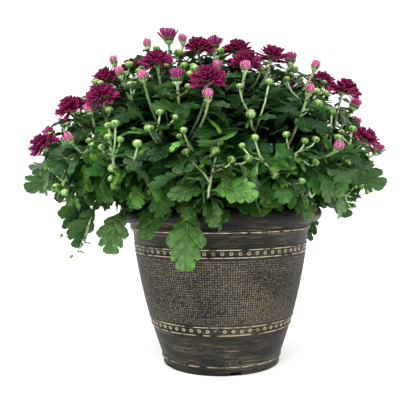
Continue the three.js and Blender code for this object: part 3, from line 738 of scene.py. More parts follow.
def addLeaf(builder, leaf, seed, kind=None):
    kind = kind or ("rounded" if draw(seed, 35) < leafLook["roundShare"] else "pointed")
    outline = leafLook[kind]
    sides = leafLook["fineSides" if kind == "fine" else "plainSides"]
    petiole, blade = leaf["petiole"], leaf["blade"]
    rings = len(outline) + 1
    phase = leafLook["wavesBegin"] * draw(seed, 31)
    ripple = leafLook["ripple"] * within(0.3, 1, seed, 32) * blade
    drop = leafLook["lobeDrop"] * within(-0.3, 1, seed, 33)

    def place(p):
        ring = round(p.x)
        if ring == 0 or ring == 1:  # the root and the foot of the petiole
            centre, side, normal = leafFrame(leaf, 0)
            spread = leafLook["petioleHalf"] * ring
            return centre - side * (p.y * spread) + normal * (p.z * spread)
        if ring > rings:
            return leafFrame(leaf, petiole + blade)[0]
        share, reach, angle = outline[ring - 2]
        out = abs(p.y)
        reach = max(reach * blade, leafLook["petioleHalf"] if ring == 2 else 0)
        ahead = reach * out * math.cos(radians(angle))
        centre, side, normal = leafFrame(leaf, petiole + share * blade + ahead)
        across = leaf["broad"] * reach * out * math.sin(radians(angle)) * (-1 if p.y > 0 else 1)
        lift = abs(across) * plant["leafFold"] - drop * out * out * reach
        along = share + ahead / blade
        wave = along * leafLook["waves"] + phase + (leafLook["wavesApart"] if p.y > 0 else 0)
        lift += ripple * out * out * math.sin(wave)
        thick = leafLook["halfThick"] * (1 + leafLook["footThicker"] * (1 - share) * (1 - out))
        return centre + side * across + normal * (lift + p.z * thick)

    builder.stamp(leafTemplate(rings, sides), place, draw(seed, 34), 2)


class Room:
    # remembers points, in cells, to keep new leaves clear of them
    def __init__(self, cell):
        self.cell = cell
        self.cells = {}

    def key(self, p):
        return tuple(math.floor(value / self.cell) for value in p)

    def add(self, p):
        self.cells.setdefault(self.key(p), []).append(p.copy())

    def free(self, p, apart):
        x, y, z = self.key(p)
        steps = (-1, 0, 1)
        near = (self.cells.get((x + i, y + j, z + k), ()) for i in steps for j in steps for k in steps)
        return all((p - q).length > apart for group in near for q in group)


def leafPoints(leaf, slim=False):
    points = []
    for share, across in leafLook["slimPoints" if slim else "points"]:
        centre, side, normal = leafFrame(leaf, leaf["petiole"] + share * leaf["blade"])
        lift = abs(across) * leafLook["pointLift"] * leaf["blade"]
        points.append(centre + side * (across * leaf["blade"]) + normal * lift)
    return points


def keepClear(leaf, room):
    # the blades of the solids' leaves keep their place, and the large ones also the air next to them
    large = leaf["petiole"] > plant["petiole"]
    offsets = (-leafLook["clearance"], 0, leafLook["clearance"]) if large else (0,)
    shares = leafLook["keptShares"]
    for share in shares:
        centre, side, normal = leafFrame(leaf, leaf["petiole"] + share * leaf["blade"])
        for across in (0,) if share in (shares[0], shares[-1]) else leafLook["keptAcross"]:
            for offset in offsets:
                room.add(centre + side * (across * leaf["blade"]) + normal * offset)


def inHead(p, margin):
    for terminal in terminals:
        rel = p - terminal["end"]
        if rel.length < headReach + margin:
            low, high, radius = headRoom[terminal["kind"]]
            ahead = rel.dot(terminal["facing"])
            aside = (rel - terminal["facing"] * ahead).length
            if low - margin < ahead < high + margin and aside < radius + margin:
                return True
    return False


def inPot(p):
    # in the pot's wall or lip, or too low next to it
    flat = math.hypot(p.x, p.y)
    lowest, edge, slope = leafLook["lowest"]
    lipHeight, lipRadius = leafLook["potRoom"]
    mixHeight, mixRadius = leafLook["mixRoom"]
    if p.z < lipHeight and flat < lipRadius and not (flat < mixRadius and p.z > mixHeight):
        return True
    return p.z < lowest + slope * max(0, flat - edge)


def domeShare(p):
    # 1 on the surface that the heads lie on; below its middle only the distance from the axis counts
    rel = p - plant["dome"]
    return math.hypot(rel.x / plant["reach"], rel.y / plant["reach"], max(0, rel.z) / plant["rise"])


def domeLimit(z, slim):
    low, high = leafLook["limitHeights"]
    first, last = leafLook["domeLimit"]
    limit = first + (last - first) * clamp((z - low) / (high - low))
    return max(limit, leafLook["slimLimit"]) if slim else limit


def leafFits(leaf, room, slim):
    points = leafPoints(leaf, slim)
    if any(domeShare(p) > domeLimit(p.z, slim) or inPot(p) or inHead(p, 0) for p in points):
        return False
    return all(room.free(p, leafLook["slimApart" if slim else "apart"]) for p in points)


def settle(leaf, room, slim=False):
    # the leaf as asked for, or turned a little, where it has room
    for turn, lift in filling["turns"]:
        tried = {**leaf, "azimuth": leaf["azimuth"] + turn, "rise": leaf["rise"] + lift}
        if leafFits(tried, room, slim):
            for p in leafPoints(tried, slim):
                room.add(p)
            return tried
    return None


# the leaves between those of the solids
filling = {
    "mainShares": (0.2, 0.96),  # where leaves stand along a stem
    "shootFrom": 0.04,
    "twigShares": (0.05, 0.7),
    "forkedShares": (0.15, 0.8),
    "spacing": 4.2,  # along a stem
    "shootSpacing": 2.7,
    "twigSpacing": 6,
    "turn": 137.5,  # from leaf to leaf
    "turnChange": (-25, 25),
    "spread": 52,  # from the shoot's direction
    "mainBlade": (30, 50),
    "shootBlade": (18, 38),
    "tipBlade": (15, 27),
    "twigBlade": (16, 30),
    "twigFrom": 24,  # shorter twigs carry no lobed leaves
    "petiole": (5, 12),
    "hangPetiole": 1.6,  # how much longer a hanging leaf's stalk may be
    "droop": (28, 84),
    "roll": 60,
    "flatten": 0.6,  # leaves rise less steeply than they leave the stem
    "rise": (-20, 60),
    "hang": 38,
    "hangDip": 10,
    "hangBelow": 265,  # lower leaves hang more, so that they face outwards
    "hangDepth": 90,
    "crownFrom": 225,  # the highest leaves hang as well, and are smaller
    "crownDepth": 40,
    "crownHang": 24,
    "crownSmaller": 0.15,
    "slimSpacing": 2.6,
    "slimReach": (5, 18),  # mm below a head where narrow leaves stand
    "slimBlade": (13, 26),
    "slimPetiole": 2,
    "tipPetiole": 1.5,
    "tipDroop": 30,
    "tipGrowth": (0.7, 0.6),  # the size next to the head, and how much more at the far end
    "thinned": 0.6,  # the share of narrow leaves in the open zone
    "openReach": (0.42, 0.66),
    "openHeights": (190, 225),
    # turn and lift of a leaf that has no room, one after the other
    "turns": ((0, 0), (20, 8), (-20, 12), (38, -10), (-38, 20), (70, 5), (-70, -5), (110, 10), (-110, 0)),
}


def leafOn(way, share, turn, blade, petiole, droop, seed):
    root, along = way.at(share), way.tangent(share)
    first = along.cross(up) if abs(along.z) < 0.95 else Vector((1, 0, 0))
    out = first.normalized()
    out.rotate(Matrix.Rotation(radians(turn), 3, along))
    spread = radians(filling["spread"])
    direction = along * math.cos(spread) + out * math.sin(spread)
    azimuth = math.degrees(math.atan2(direction.x, -direction.y))
    low = clamp((filling["hangBelow"] - root.z) / filling["hangDepth"])
    crown = clamp((root.z - filling["crownFrom"]) / filling["crownDepth"])
    rise = math.degrees(math.asin(clamp(direction.z, -1, 1))) * filling["flatten"] - filling["hangDip"] * low
    roll = within(-filling["roll"], filling["roll"], seed, 41)
    stalk = petiole * (1 + filling["hangPetiole"] * low * draw(seed, 46))
    hang = droop + filling["hang"] * low * draw(seed, 49) + filling["crownHang"] * crown
    size = blade * (1 - filling["crownSmaller"] * crown)
    return setLeaf(root, azimuth, clamp(rise, *filling["rise"]), hang, roll, stalk, size)


def openZone(place):
    # 1 low down at the outside of the plant, 0 inside it and high up
    reach = math.hypot(place.x, place.y) / plant["reach"]
    first, last = filling["openReach"]
    low, high = filling["openHeights"]
    return clamp((reach - first) / (last - first)) * clamp((high - place.z) / (high - low))


def waysToFill(stems, index):
    # way, from, to, key of the draws, sizes and spacing of its leaves
    stem = stems[index]
    ways = [(stem["way"], *filling["mainShares"], index, filling["mainBlade"], filling["spacing"])]
    blade, spacing = filling["shootBlade"], filling["shootSpacing"]
    for shoot in stem["shoots"]:
        top = 1 - filling["slimReach"][1] / shoot["way"].length
        ways.append((shoot["way"], filling["shootFrom"], top, 20 + shoot["key"], blade, spacing))
    blade = filling["twigBlade"]
    for twig in stem["twigs"]:
        key = 900 + twig["seed"]
        if twig["way"].length > filling["twigFrom"]:
            ways.append((twig["way"], *filling["twigShares"], key, blade, filling["twigSpacing"]))
    for n, shoot in enumerate(forkedShoots):
        if shoot["stem"] == index and not shoot["side"]:
            for k, (_, way, _) in enumerate(forkedWays(stems, shoot)):
                ways.append((way, *filling["forkedShares"], 1500 + 10 * n + k, blade, spacing))
    return ways


def fillWay(way, low, high, key, sizes, spacing, room):
    added = []
    count = max(1, int((high - low) * way.length / spacing))
    for n in range(count + 1):
        share = low + (high - low) * n / count
        seed = key * 17 + n
        blade = within(*sizes, seed, 42)
        turn = n * filling["turn"] + within(*filling["turnChange"], seed, 43) + key * 50
        petiole, droop = within(*filling["petiole"], seed, 44), within(*filling["droop"], seed, 45)
        slim = draw(seed, 47) < filling["thinned"] * openZone(way.at(share))
        if slim:
            blade, petiole = within(*filling["slimBlade"], seed, 48), filling["slimPetiole"]
        found = settle(leafOn(way, share, turn, blade, petiole, droop, seed), room, slim)
        if found:
            added.append((found, seed, slim))
    return added


def fillTip(shoot, room):
    # narrow leaves next to its bloom or bud
    added = []
    first, last = filling["slimReach"]
    base, more = filling["tipGrowth"]
    for n in range(int((last - first) / filling["slimSpacing"]) + 1):
        back = first + n * filling["slimSpacing"]
        seed = shoot["key"] * 23 + n + 5000
        share = 1 - back / shoot["way"].length
        blade = within(*filling["tipBlade"], seed, 42) * (base + more * back / last)
        turn = n * filling["turn"] + shoot["key"] * 31
        leaf = leafOn(shoot["way"], share, turn, blade, filling["tipPetiole"], filling["tipDroop"], seed)
        found = settle(leaf, room, slim=True)
        if found:
            added.append((found, seed, True))
    return added


def fillStem(stems, index, room):
    extras = []
    for way in waysToFill(stems, index):
        extras += fillWay(*way, room)
    for shoot in stems[index]["shoots"]:
        extras += fillTip(shoot, room)
    return extras


# buds and calyxes
budLook = {
    "greenProfile": (
        (0.0, 1.2), (0.12, 2.6), (0.3, 3.8), (0.55, 4.25), (0.76, 3.9), (0.91, 2.7), (0.985, 1.2),
    ),
    "greenLength": 7,
    "greenSides": 12,
    "greenBracts": {
        "count": 6, "turn": 50, "up": 0.6, "out": 1.8, "length": 5.0, "longer": 1.8, "width": 1.5,
    },
    "ridges": 7,
    "ridgeDepth": 0.07,
    "thick": 0.35,
    "cup": 0.5,
    "greenLean": (14, 118),
    "lean": {"open": (22, 50), "half": (52, 78), "pink": (62, 98)},
    "bracts": {"open": 13, "half": 11, "pink": 8},  # in each of the two rows
    "bractLength": {"open": 6.5, "half": 5.6, "pink": 5.2},
    "bractWidth": 1.6,
    "bractFoot": {"open": 5.6, "half": 4.8, "pink": 3.6},
    "turnChange": (-6, 6),
    "lengthChange": (0.85, 1.1),
    "neck": {"open": 5.8, "half": 4.8, "pink": 3.4},  # radius of the shoot's end under the head
}


def budRidge(share, angle):
    return 1 + budLook["ridgeDepth"] * math.cos(budLook["ridges"] * angle) * min(1, share * 3)


class Straight:
    # a short straight way, for a bud or the core of a head
    def __init__(self, start, end):
        self.start, self.end = start, end

    def at(self, share):
        return self.start.lerp(self.end, share)

    def tangent(self, _):
        return (self.end - self.start).normalized()


def addGreenBud(builder, end, facing, scale, seed):
    foot = end - facing * (budLook["greenLength"] * scale)
    stations = [(share, radius * scale) for share, radius in budLook["greenProfile"]]
    builder.tube(Straight(foot, end), stations, budLook["greenSides"], draw(seed, 51), 3, budRidge)
    bracts = budLook["greenBracts"]
    for n in range(bracts["count"]):
        out = ringOf(facing, n * 360 / bracts["count"] + bracts["turn"] * draw(seed, 56))
        base = foot + facing * (bracts["up"] * scale) + out * (bracts["out"] * scale)
        length = (bracts["length"] + bracts["longer"] * draw(seed + n, 57)) * scale
        size = (length, bracts["width"] * scale)
        addBract(builder, base, out, facing, size, budLook["greenLean"], draw(seed + n, 58))


def addBract(builder, base, out, facing, size, lean, tone):
    size = (*size, budLook["thick"])
    addFloret(builder, base, out, facing, size, lean, tone, 4, budLook["cup"], sides=4)


def addFloret(builder, base, out, facing, size, angles, tone, material, cup=0.25, twist=0, sides=6):
    # out and facing are square to each other; angles are its lift over the head's plane at its foot and tip
    length, width, thick = size
    start, turn = radians(angles[0]), radians(angles[1] - angles[0]) or 1e-3
    bow = length / turn

    def place(p):
        ring = round(p.x)
        share, spread = floretProfile[ring]
        angle = start + turn * share
        centre = base + out * (bow * (math.sin(angle) - math.sin(start)))
        centre = centre - facing * (bow * (math.cos(angle) - math.cos(start)))
        forward = out * math.cos(angle) + facing * math.sin(angle)
        normal = facing * math.cos(angle) - out * math.sin(angle)
        across = p.y * width * spread
        lift = p.z * thick * min(1, spread * 1.5) + cup * across * across / width
        lean = radians(twist) * share
        side = normal.cross(forward)
        return (centre + side * (across * math.cos(lean) - lift * math.sin(lean))
                + normal * (lift * math.cos(lean) + across * math.sin(lean)))

    builder.stamp(tubeTemplate(len(floretProfile) - 2, sides), place, tone, material)


floretProfile = ((0, 0), (0.02, 0.45), (0.3, 0.7), (0.62, 0.98), (0.87, 0.95), (0.98, 0.55), (1, 0))


def ringOf(facing, turn):
    out = facing.cross(Vector((1, 0, 0))).normalized()
    out.rotate(Matrix.Rotation(radians(turn), 3, facing))
    return out


def addCalyx(builder, shoot):
    # two rows of bracts under the head
    kind, end, facing, key = shoot["kind"], shoot["end"], shoot["facing"], shoot["key"]
    count = budLook["bracts"][kind]
    for n in range(count * 2):
        row = n // count
        seed = key * 40 + n
        turn = n * 360 / count + row * 180 / count + within(*budLook["turnChange"], seed, 52)
        out = ringOf(facing, turn)
        base = end - facing * (2.8 - 1.2 * row) + out * (budLook["bractFoot"][kind] * (0.46 + 0.2 * row))
        length = budLook["bractLength"][kind] * (0.75 + 0.25 * row)
        size = (length * within(*budLook["lengthChange"], seed, 53), budLook["bractWidth"])
        addBract(builder, base, out, facing, size, budLook["lean"][kind], draw(seed, 54))


def shootStations(shoot):
    # rings along a shoot, the last ones by their distance in mm from its end
    length = shoot["way"].length
    radius = plant["shootRadius"]
    if shoot["kind"] == "green":
        ends = [(7, radius)]
    else:
        cup = budLook["neck"][shoot["kind"]]
        ends = [(4.6, radius), (3.6, radius * 1.3), (2.4, cup * 0.66), (1.2, cup * 0.93), (0, cup * 0.9)]
    shares = [0, 0.06, 0.14, 0.24, 0.34, 0.46, plant["shootBend"], 0.7, 0.82]
    top = 1 - ends[0][0] / length
    stations = [(share, radius * (1.25 - 0.3 * min(1, share * 3))) for share in shares if share < top - 0.04]
    return stations + [(1 - back / length, spread) for back, spread in ends]


# thin twigs and sprays of small buds on the leafy stems
twigs = {
    "perShoot": 2,
    "shootReach": (8, 26),  # mm below the head or bud
    "shootTurn": 160,
    "turnChange": (-30, 30),
    "shootStalk": (9, 17),
    "scale": (0.6, 1.05),
    "leaf": (9, 18),
    "leafTurn": (-90, 90),
    "leafRoll": (-40, 40),
    "petiole": 1.5,
    "apart": 7,  # between the middles of two buds
    "limit": 1.05,  # of the surface that the heads lie on
    "lowest": 150,
    "inFront": (0, 5, 10, 16),  # mm in front of a stalk that stay free of leaves
    "bare": (8, 50),  # the same for a shoot, mm below its head
    "rings": ((0, 1), (0.3, 0.9), (0.65, 0.85)),  # share of the way and radius
    "sides": 6,
}
sprays = {  # stalks that stand up out of the foliage, each with one or more small buds
    "count": 230,
    "crowded": 1.5,  # above 1 they are closer together in the crown
    "polar": (6, 100),
    "firstTurn": 60,
    "lift": (0.95, 1.03),
    "rise": (18, 34),  # their upright part
    "inwards": 10,
    "longest": 34,
    "more": (0.8, 0.45),  # the shares that have a second and a third bud
    "moreApart": 150,  # degrees round the stalk
    "aside": (8, 13),
    "lower": (0, 8),
    "smaller": 0.85,
}


def clearStalk(way, shares, room):
    for share in shares:
        place = way.at(share)
        out = heading(outwards(place))
        for direction in (out, (out + heading(0)).normalized()):
            for distance in twigs["inFront"]:
                room.add(place + direction * distance)


def planTwig(way, facing, scale, seed, room, leaves=2):
    # a thin stalk with a small bud, where nothing is in its way
    end = way.at(1)
    middle = end - facing * (4 * scale)
    fits = domeShare(end) < twigs["limit"] and end.z > twigs["lowest"] and not inHead(middle, 4 * scale)
    if not fits or not room.free(middle, twigs["apart"]):
        return []
    room.add(middle)
    clearStalk(way, (0.5, 0.75, 1), room)
    return [{"way": way, "facing": facing, "scale": scale, "seed": seed, "leaves": leaves}]


def twigWay(start, leaving, end, facing, scale):
    neck = end - facing * (budLook["greenLength"] * scale)
    length = (neck - start).length
    leave, arrive = plant["shootEnds"]
    out, back = leaving * (length * leave), facing * (length * arrive)
    return Way([start, start + out, neck - back, neck + facing * 0.8])


def planShootTwigs(shoot, room):
    way, key = shoot["way"], shoot["key"]
    first, last = twigs["bare"]
    clearStalk(way, [1 - back / way.length for back in range(first, last, 4)], room)
    planned = []
    for n in range(twigs["perShoot"]):
        seed = key * 9 + n
        start = way.at(1 - within(*twigs["shootReach"], seed, 63) / way.length)
        along = way.tangent(0.9)
        out = ringOf(along, n * twigs["shootTurn"] + key * 70 + within(*twigs["turnChange"], seed, 64))
        stalk, scale = within(*twigs["shootStalk"], seed, 61), within(*twigs["scale"], seed, 62)
        facing = (out * 0.35 + along + up * 0.5).normalized()
        end = start + out * (stalk * 0.72) + along * (stalk * 0.8)
        stalkWay = twigWay(start, (out + along).normalized(), end, facing, scale)
        planned += planTwig(stalkWay, facing, scale, seed, room)
    return planned


def moreBuds(twig, end, room):
    # smaller buds on side stalks of a spray
    facing, scale, seed = twig["facing"], twig["scale"] * sprays["smaller"], twig["seed"]
    turn = 360 * draw(seed, 65)
    planned = []
    for k, chance in enumerate(sprays["more"]):
        if draw(seed + 200 * k, 64) < chance:
            side = ringOf(facing, turn + sprays["moreApart"] * k)
            down = facing * within(*sprays["lower"], seed + k, 67)
            near = end + side * within(*sprays["aside"], seed + k, 66) - down
            leaving, aside = (facing + side * 0.6).normalized(), (facing + side * 0.3).normalized()
            way = twigWay(twig["way"].at(0.4 + 0.2 * k), leaving, near, aside, scale)
            planned += planTwig(way, aside, scale, seed + 500 + 300 * k, room, 1)
    return planned


def carrierSpots(stems):
    # places on the stems and shoots from which sprays can grow
    spots = []
    for stem in stems:
        for way in [stem["way"]] + [shoot["way"] for shoot in stem["shoots"]]:
            spots += [(stem, way, i / 30) for i in range(6, 28)]
    return spots


def planSprays(stems, room):
    spots = carrierSpots(stems)
    tree = KDTree(len(spots))
    for i, (_, way, share) in enumerate(spots):
        tree.insert(way.at(share), i)
    tree.balance()
    first, last = (math.cos(radians(polar)) for polar in sprays["polar"])
    for n in range(sprays["count"]):
        seed = 3000 + n
        down = ((n + 0.5) / sprays["count"]) ** sprays["crowded"]
        polar = math.degrees(math.acos(first + (last - first) * down))
        azimuth = (n * goldenAngle + sprays["firstTurn"]) % 360 - 180
        end = onDome(azimuth, polar, within(*sprays["lift"], seed, 61))
        facing = (facingAt(azimuth, polar) + up).normalized()
        foot = end - up * within(*sprays["rise"], seed, 63) - heading(azimuth) * sprays["inwards"]
        place, index, distance = tree.find(foot)
        if distance > sprays["longest"]:
            continue
        stem, carrier, share = spots[index]
        scale = within(*twigs["scale"], seed, 62)
        leaving = (carrier.tangent(share) + heading(azimuth)).normalized()
        found = planTwig(twigWay(place, leaving, end, facing, scale), facing, scale, seed, room)
        if found:
            found += moreBuds(found[0], end, room)
        stem["twigs"] += found


def addTwig(builder, twig):
    way, facing, scale, seed = twig["way"], twig["facing"], twig["scale"], twig["seed"]
    builder.tube(way, [*twigs["rings"], (1, 0.9 * scale + 0.2)], twigs["sides"], draw(seed, 55), 1)
    end = way.at(1)
    addGreenBud(builder, end + facing * (budLook["greenLength"] * scale - 0.8), facing, scale, seed)
    for k in range(twig["leaves"]):
        azimuth = outwards(end) + within(*twigs["leafTurn"], seed, 68 + k)
        roll, blade = within(*twigs["leafRoll"], seed, 74 + k), within(*twigs["leaf"], seed, 76 + k)
        leaf = setLeaf(way.at(0.35 + 0.2 * k), azimuth, 30, 50, roll, twigs["petiole"], blade)
        addLeaf(builder, leaf, seed + 7000 * (k + 1), "slim")


def mainStations():
    foot, tip = plant["stemRadius"]
    shares = [0, 0.08, 0.16, 0.25, 0.33, 0.38, 0.45, 0.52, 0.59, 0.66, 0.73, 0.8, 0.87, 0.93, 0.97]
    stations = [(share, foot + (tip - foot) * share + 0.25 * math.sin(share * 60)) for share in shares]
    return stations + [(1, tip * 0.6)]


# thin shoots with several small buds
forkLook = {
    "bend": (0.3, 8),  # share of the way to the fork, and mm higher
    "thinner": 0.75,  # the stalks of the buds
    "rings": ((0, 1.1), (0.3, 0.9), (0.6, 0.8), (0.85, 0.75), (1, 0.7)),
    "tone": 0.8,
    "blade": (8, 15),
    "leafTurn": (70, 60),  # the first leaf's azimuth, and how much less the next one has
    "leafSetting": (10, 40, 20),  # rise, droop and roll
}
# shoots that reach out to the right (or, at side -1, to the left) and upright ones;
# leaves keep clear of the front of their stalks at the shares given as bare
sideways = {"side": 1, "radius": 1, "rise": 0, "bare": ()}
upright = {"side": 0, "radius": 1.5, "rise": -8, "bare": ()}
inFront = {**upright, "bare": (0.3, 0.5, 0.7, 0.9, 1)}
forkedShoots = [  # main stem, share up it, place of the fork, size and places of the buds
    {**sideways, "stem": 7, "share": 0.72, "fork": (-128, -50, 146), "rise": 12, "scale": 0.42, "side": -1,
     "tips": ((-156, -50, 137), (-146, -52, 117), (-138, -48, 128))},
    {**sideways, "stem": 1, "share": 0.6, "fork": (116, -66, 173), "scale": 0.55, "bare": (0.6, 1),
     "tips": ((139, -64, 176), (127, -62, 164), (126, -70, 182))},
    {**sideways, "stem": 1, "share": 0.5, "fork": (78, -104, 172), "rise": 4, "radius": 1.1, "scale": 0.6,
     "bare": (0.5, 1), "tips": ((92, -108, 190), (76, -112, 194))},
    {**inFront, "stem": 0, "share": 0.26, "fork": (-12, -150, 178), "scale": 0.8,
     "tips": ((-3, -154, 219), (-30, -152, 212), (7, -160, 205), (21, -150, 206)),
     "leaves": ((66, 16, 50, 54, 6, 35), (-75, 10, 40, -48, 5, 28))},
    {**inFront, "stem": 7, "share": 0.45, "fork": (-89, -138, 201), "rise": -10, "scale": 0.75,
     "tips": ((-93, -142, 225), (-83, -142, 223), (-99, -140, 217))},
    {**inFront, "stem": 1, "share": 0.4, "fork": (58, -130, 195), "rise": -10, "scale": 0.75,
     "tips": ((52, -136, 226), (68, -134, 221), (78, -132, 222), (79, -128, 203))},
    {**upright, "stem": 10, "share": 0.8, "fork": (-32, 42, 282), "scale": 0.8,
     "tips": ((-34, 42, 309), (-46, 44, 302), (-24, 54, 303))},
    {**upright, "stem": 9, "share": 0.8, "fork": (12, 28, 284), "scale": 0.8,
     "tips": ((6, 24, 311), (22, 38, 304), (26, 22, 306))},
    {**upright, "stem": 10, "share": 0.75, "fork": (-8, 62, 270), "scale": 0.8,
     "tips": ((-6, 66, 298), (-20, 74, 292), (10, 72, 294))},
]


def forkedWays(stems, shoot):
    # its stalk and the stalks of its buds: direction of the bud, way, thickness
    start, fork = stems[shoot["stem"]]["way"].at(shoot["share"]), Vector(shoot["fork"])
    along, higher = forkLook["bend"]
    bend = start.lerp(fork, along) + up * higher
    ways = [(None, Way([start, bend, fork + up * shoot["rise"], fork]), shoot["radius"])]
    for n, tip in enumerate(Vector(place) for place in shoot["tips"]):
        facing = Vector((shoot["side"], -0.4, 0.5)) + up * draw(n, 66)
        if not shoot["side"]:
            facing += (tip - fork) * 0.04
        facing.normalize()
        neck = tip - facing * (budLook["greenLength"] * shoot["scale"])
        if n and not shoot["side"]:  # the first bud's stalk carries the others
            foot = ways[1][1].at(0.02 + 0.17 * n)
            level = (neck - foot).cross(up).normalized()
            bend = foot.lerp(neck, 0.5) + level.cross(neck - foot) * 0.12
            way = Way([foot, bend, neck - facing * 6, neck + facing * 0.5])
        else:
            sag = 4 if shoot["side"] else -3
            bend = fork.lerp(neck, 0.4) - up * sag
            way = Way([fork - up * 0.5, bend, neck - facing * 5, neck + facing * 0.5])
        ways.append((facing, way, shoot["radius"] * forkLook["thinner"]))
    return ways


def addForkedShoot(builder, stems, shoot, seed):
    first, less = forkLook["leafTurn"]
    for n, (facing, way, thickness) in enumerate(forkedWays(stems, shoot)):
        rings = [(share, radius * thickness) for share, radius in forkLook["rings"]]
        builder.tube(way, rings, twigs["sides"], forkLook["tone"], 1)
        if not facing:
            continue
        addGreenBud(builder, Vector(shoot["tips"][n - 1]), facing, shoot["scale"], seed + n)
        for k in range(3 if shoot["side"] else 2):
            azimuth = (shoot["side"] or 1) * (first - less * k)
            blade = within(*forkLook["blade"], n * 3 + k, 67)
            root = way.at(0.3 + 0.22 * k)
            leaf = setLeaf(root, azimuth, *forkLook["leafSetting"], twigs["petiole"], blade)
            addLeaf(builder, leaf, seed + 200 + n * 3 + k, "slim")
    for k, setting in enumerate(shoot.get("leaves", ())):
        addLeaf(builder, setLeaf(Vector(shoot["fork"]), *setting), seed + 300 + k, "fine")


def addLeafyStem(stems, index, extras):
    stem = stems[index]
    builder = Builder()
    builder.tube(stem["way"], mainStations(), 10, draw(index, 71), 0)
    for shoot in stem["shoots"]:
        builder.tube(shoot["way"], shootStations(shoot), 8, draw(shoot["key"], 72), 1)
        if shoot["kind"] == "green":
            addGreenBud(builder, shoot["end"], shoot["facing"], 1, shoot["key"])
        else:
            addCalyx(builder, shoot)
    for twig in stem["twigs"]:
        addTwig(builder, twig)
    for n, leaf in enumerate(stem["leaves"]):
        addLeaf(builder, leaf, index * 50 + n, "fine")
    for leaf, seed, slim in extras:
        addLeaf(builder, leaf, seed, "slim" if slim else None)
    for n, shoot in enumerate(forkedShoots):
        if shoot["stem"] == index:
            addForkedShoot(builder, stems, shoot, 700 + 20 * n)
    materials = [stemMaterial(), shootMaterial(), leafMaterial(), greenBudMaterial(), bractMaterial()]
    builder.finish(f"leafyStem{index + 1:02d}", [stem["node"]], materials)


# flower heads
bloomLook = {
    "fullPolar": 30,  # half-open heads further out on the plant are less open
    "lessOpen": 0.74,
    "closing": 55,  # degrees, times what they are less open
    "core": ((0, 2.5), (0.3, 3.4), (0.7, 2.6), (0.96, 1)),
    "curlChange": (-14, 14),
    "lengthChange": (0.78, 1.06),
    "widthChange": (0.85, 1.1),
    "turnChange": (-7, 7),
    "cup": 0.25,
    # pairs go from the outer florets to the inner ones
    "open": {
        "piece": "openBloom", "slot": "open_florets", "count": 104, "length": (15, 9.2), "width": (2.2, 1.7),
        "foot": (3.4, 0.6), "height": (0.8, 3.6), "lift": (-12, 82), "curl": (30, 24), "wild": 17,
        "twist": 55, "thick": 0.36,
    },
    "half": {
        "piece": "halfOpenBloom", "slot": "half_open_florets", "count": 46, "length": (12.6, 9.4),
        "width": (2.0, 1.5), "foot": (3.8, 0.8), "height": (0, 3), "lift": (56, 86), "curl": (18, 12),
        "wild": 7, "twist": 30, "thick": 0.36,
    },
    "pink": {
        "piece": "pinkBud", "slot": "pink_florets", "count": 26, "length": (8.4, 6.4), "width": (1.5, 1.15),
        "foot": (2.8, 0.7), "height": (-0.8, 1.2), "lift": (84, 96), "curl": (84, 50), "wild": 7, "twist": 16,
        "thick": 0.34,
    },
}


def floretLift(kind, share):
    low, high = bloomLook[kind]["lift"]
    if kind != "open":
        return low + (high - low) * share
    # equal steps of the angle's sine spread the tips evenly over a dome
    evenly = math.sin(radians(low)) * (1 - share) + math.sin(radians(high)) * share
    return math.degrees(math.asin(evenly))


def addHead(terminal):
    kind, facing, key = terminal["kind"], terminal["facing"], terminal["key"]
    look = bloomLook[kind]
    builder = Builder()
    centre = terminal["end"] + facing * 0.4

    def between(name, share):
        return look[name][0] + (look[name][1] - look[name][0]) * share

    def change(name, seed, b):
        return within(*bloomLook[name], seed, b)

    grown = 1 if kind != "half" or terminal["polar"] < bloomLook["fullPolar"] else bloomLook["lessOpen"]
    core = Straight(centre - facing * 0.3, centre + facing * (look["height"][1] + 2.5))
    builder.tube(core, bloomLook["core"], 8, 0.1, 0)
    for n in range(look["count"]):
        share = n / (look["count"] - 1)
        seed = key * 131 + n
        out = ringOf(facing, n * goldenAngle + key * 40)
        lift = floretLift(kind, share) + bloomLook["closing"] * (1 - grown)
        lift += within(-look["wild"], look["wild"], seed, 81)
        curl = between("curl", share) + change("curlChange", seed, 82)
        base = centre + out * between("foot", share) + facing * between("height", share)
        length = between("length", share) * change("lengthChange", seed, 83) * grown
        width = between("width", share) * change("widthChange", seed, 84) * grown
        out.rotate(Matrix.Rotation(radians(change("turnChange", seed, 85)), 3, facing))
        twist = within(-look["twist"], look["twist"], seed, 86)
        size, angles = (length, width, look["thick"]), (lift - curl / 2, lift + curl / 2)
        addFloret(builder, base, out, facing, size, angles, share, 0, bloomLook["cup"], twist)
    name = look["piece"] + terminal["node"][-2:]
    builder.finish(name, [terminal["node"]], [floretMaterial(kind)])


# pot
potLook = {
    "segments": 228,
    "bandRows": 27,
    "band": (52.5, 114.5),
    "bumpInset": 0.63,
    "bumpHeight": 0.48,
    "bumpPeak": 0.12,
    "lines": (42.2, 50.2, 117.0, 124.2),  # heights of the raised lines
    "lineTop": (-0.6, 0.4),  # the part of a raised line with gold on it
    "rubbedSteps": ((8.7, 9.3), (138.9, 139.8)),  # heights of other edges with gold on them
    "wallSkin": 1.2,  # faces within this of the wall's surface belong to it
    "beads": ((46.2, 57), (120.6, 68)),  # height and count
    "beadRadius": 1.35,
    "beadWire": 0.5,
    "beadSteps": (6, 10),  # round the wire and round the ring
    "lipCentre": (97, 154),
    "lipRadius": 8,
    "lipTurn": (-62, 121, 13),
    "footRadius": 61,
    "notches": {"count": 5, "width": 13, "height": 3.2, "depth": 13, "first": 12},
    # scale of the fine patches, share of the broad ones, where the cover starts and where it is full
    "gold": {
        "goldDots": (600, 0.45, 0.575, 1.28),
        "goldLines": (130, 0.3, 0.54, 0.72),
        "goldBeads": (130, 0.3, 0.4, 0.68),
        "goldBetween": (600, 0.45, 0.69, 2.4),  # between the bumps of a column
    },
}
potSlots = {"wall": 0, "goldDots": 1, "goldLines": 2, "goldBeads": 3, "goldBetween": 4}


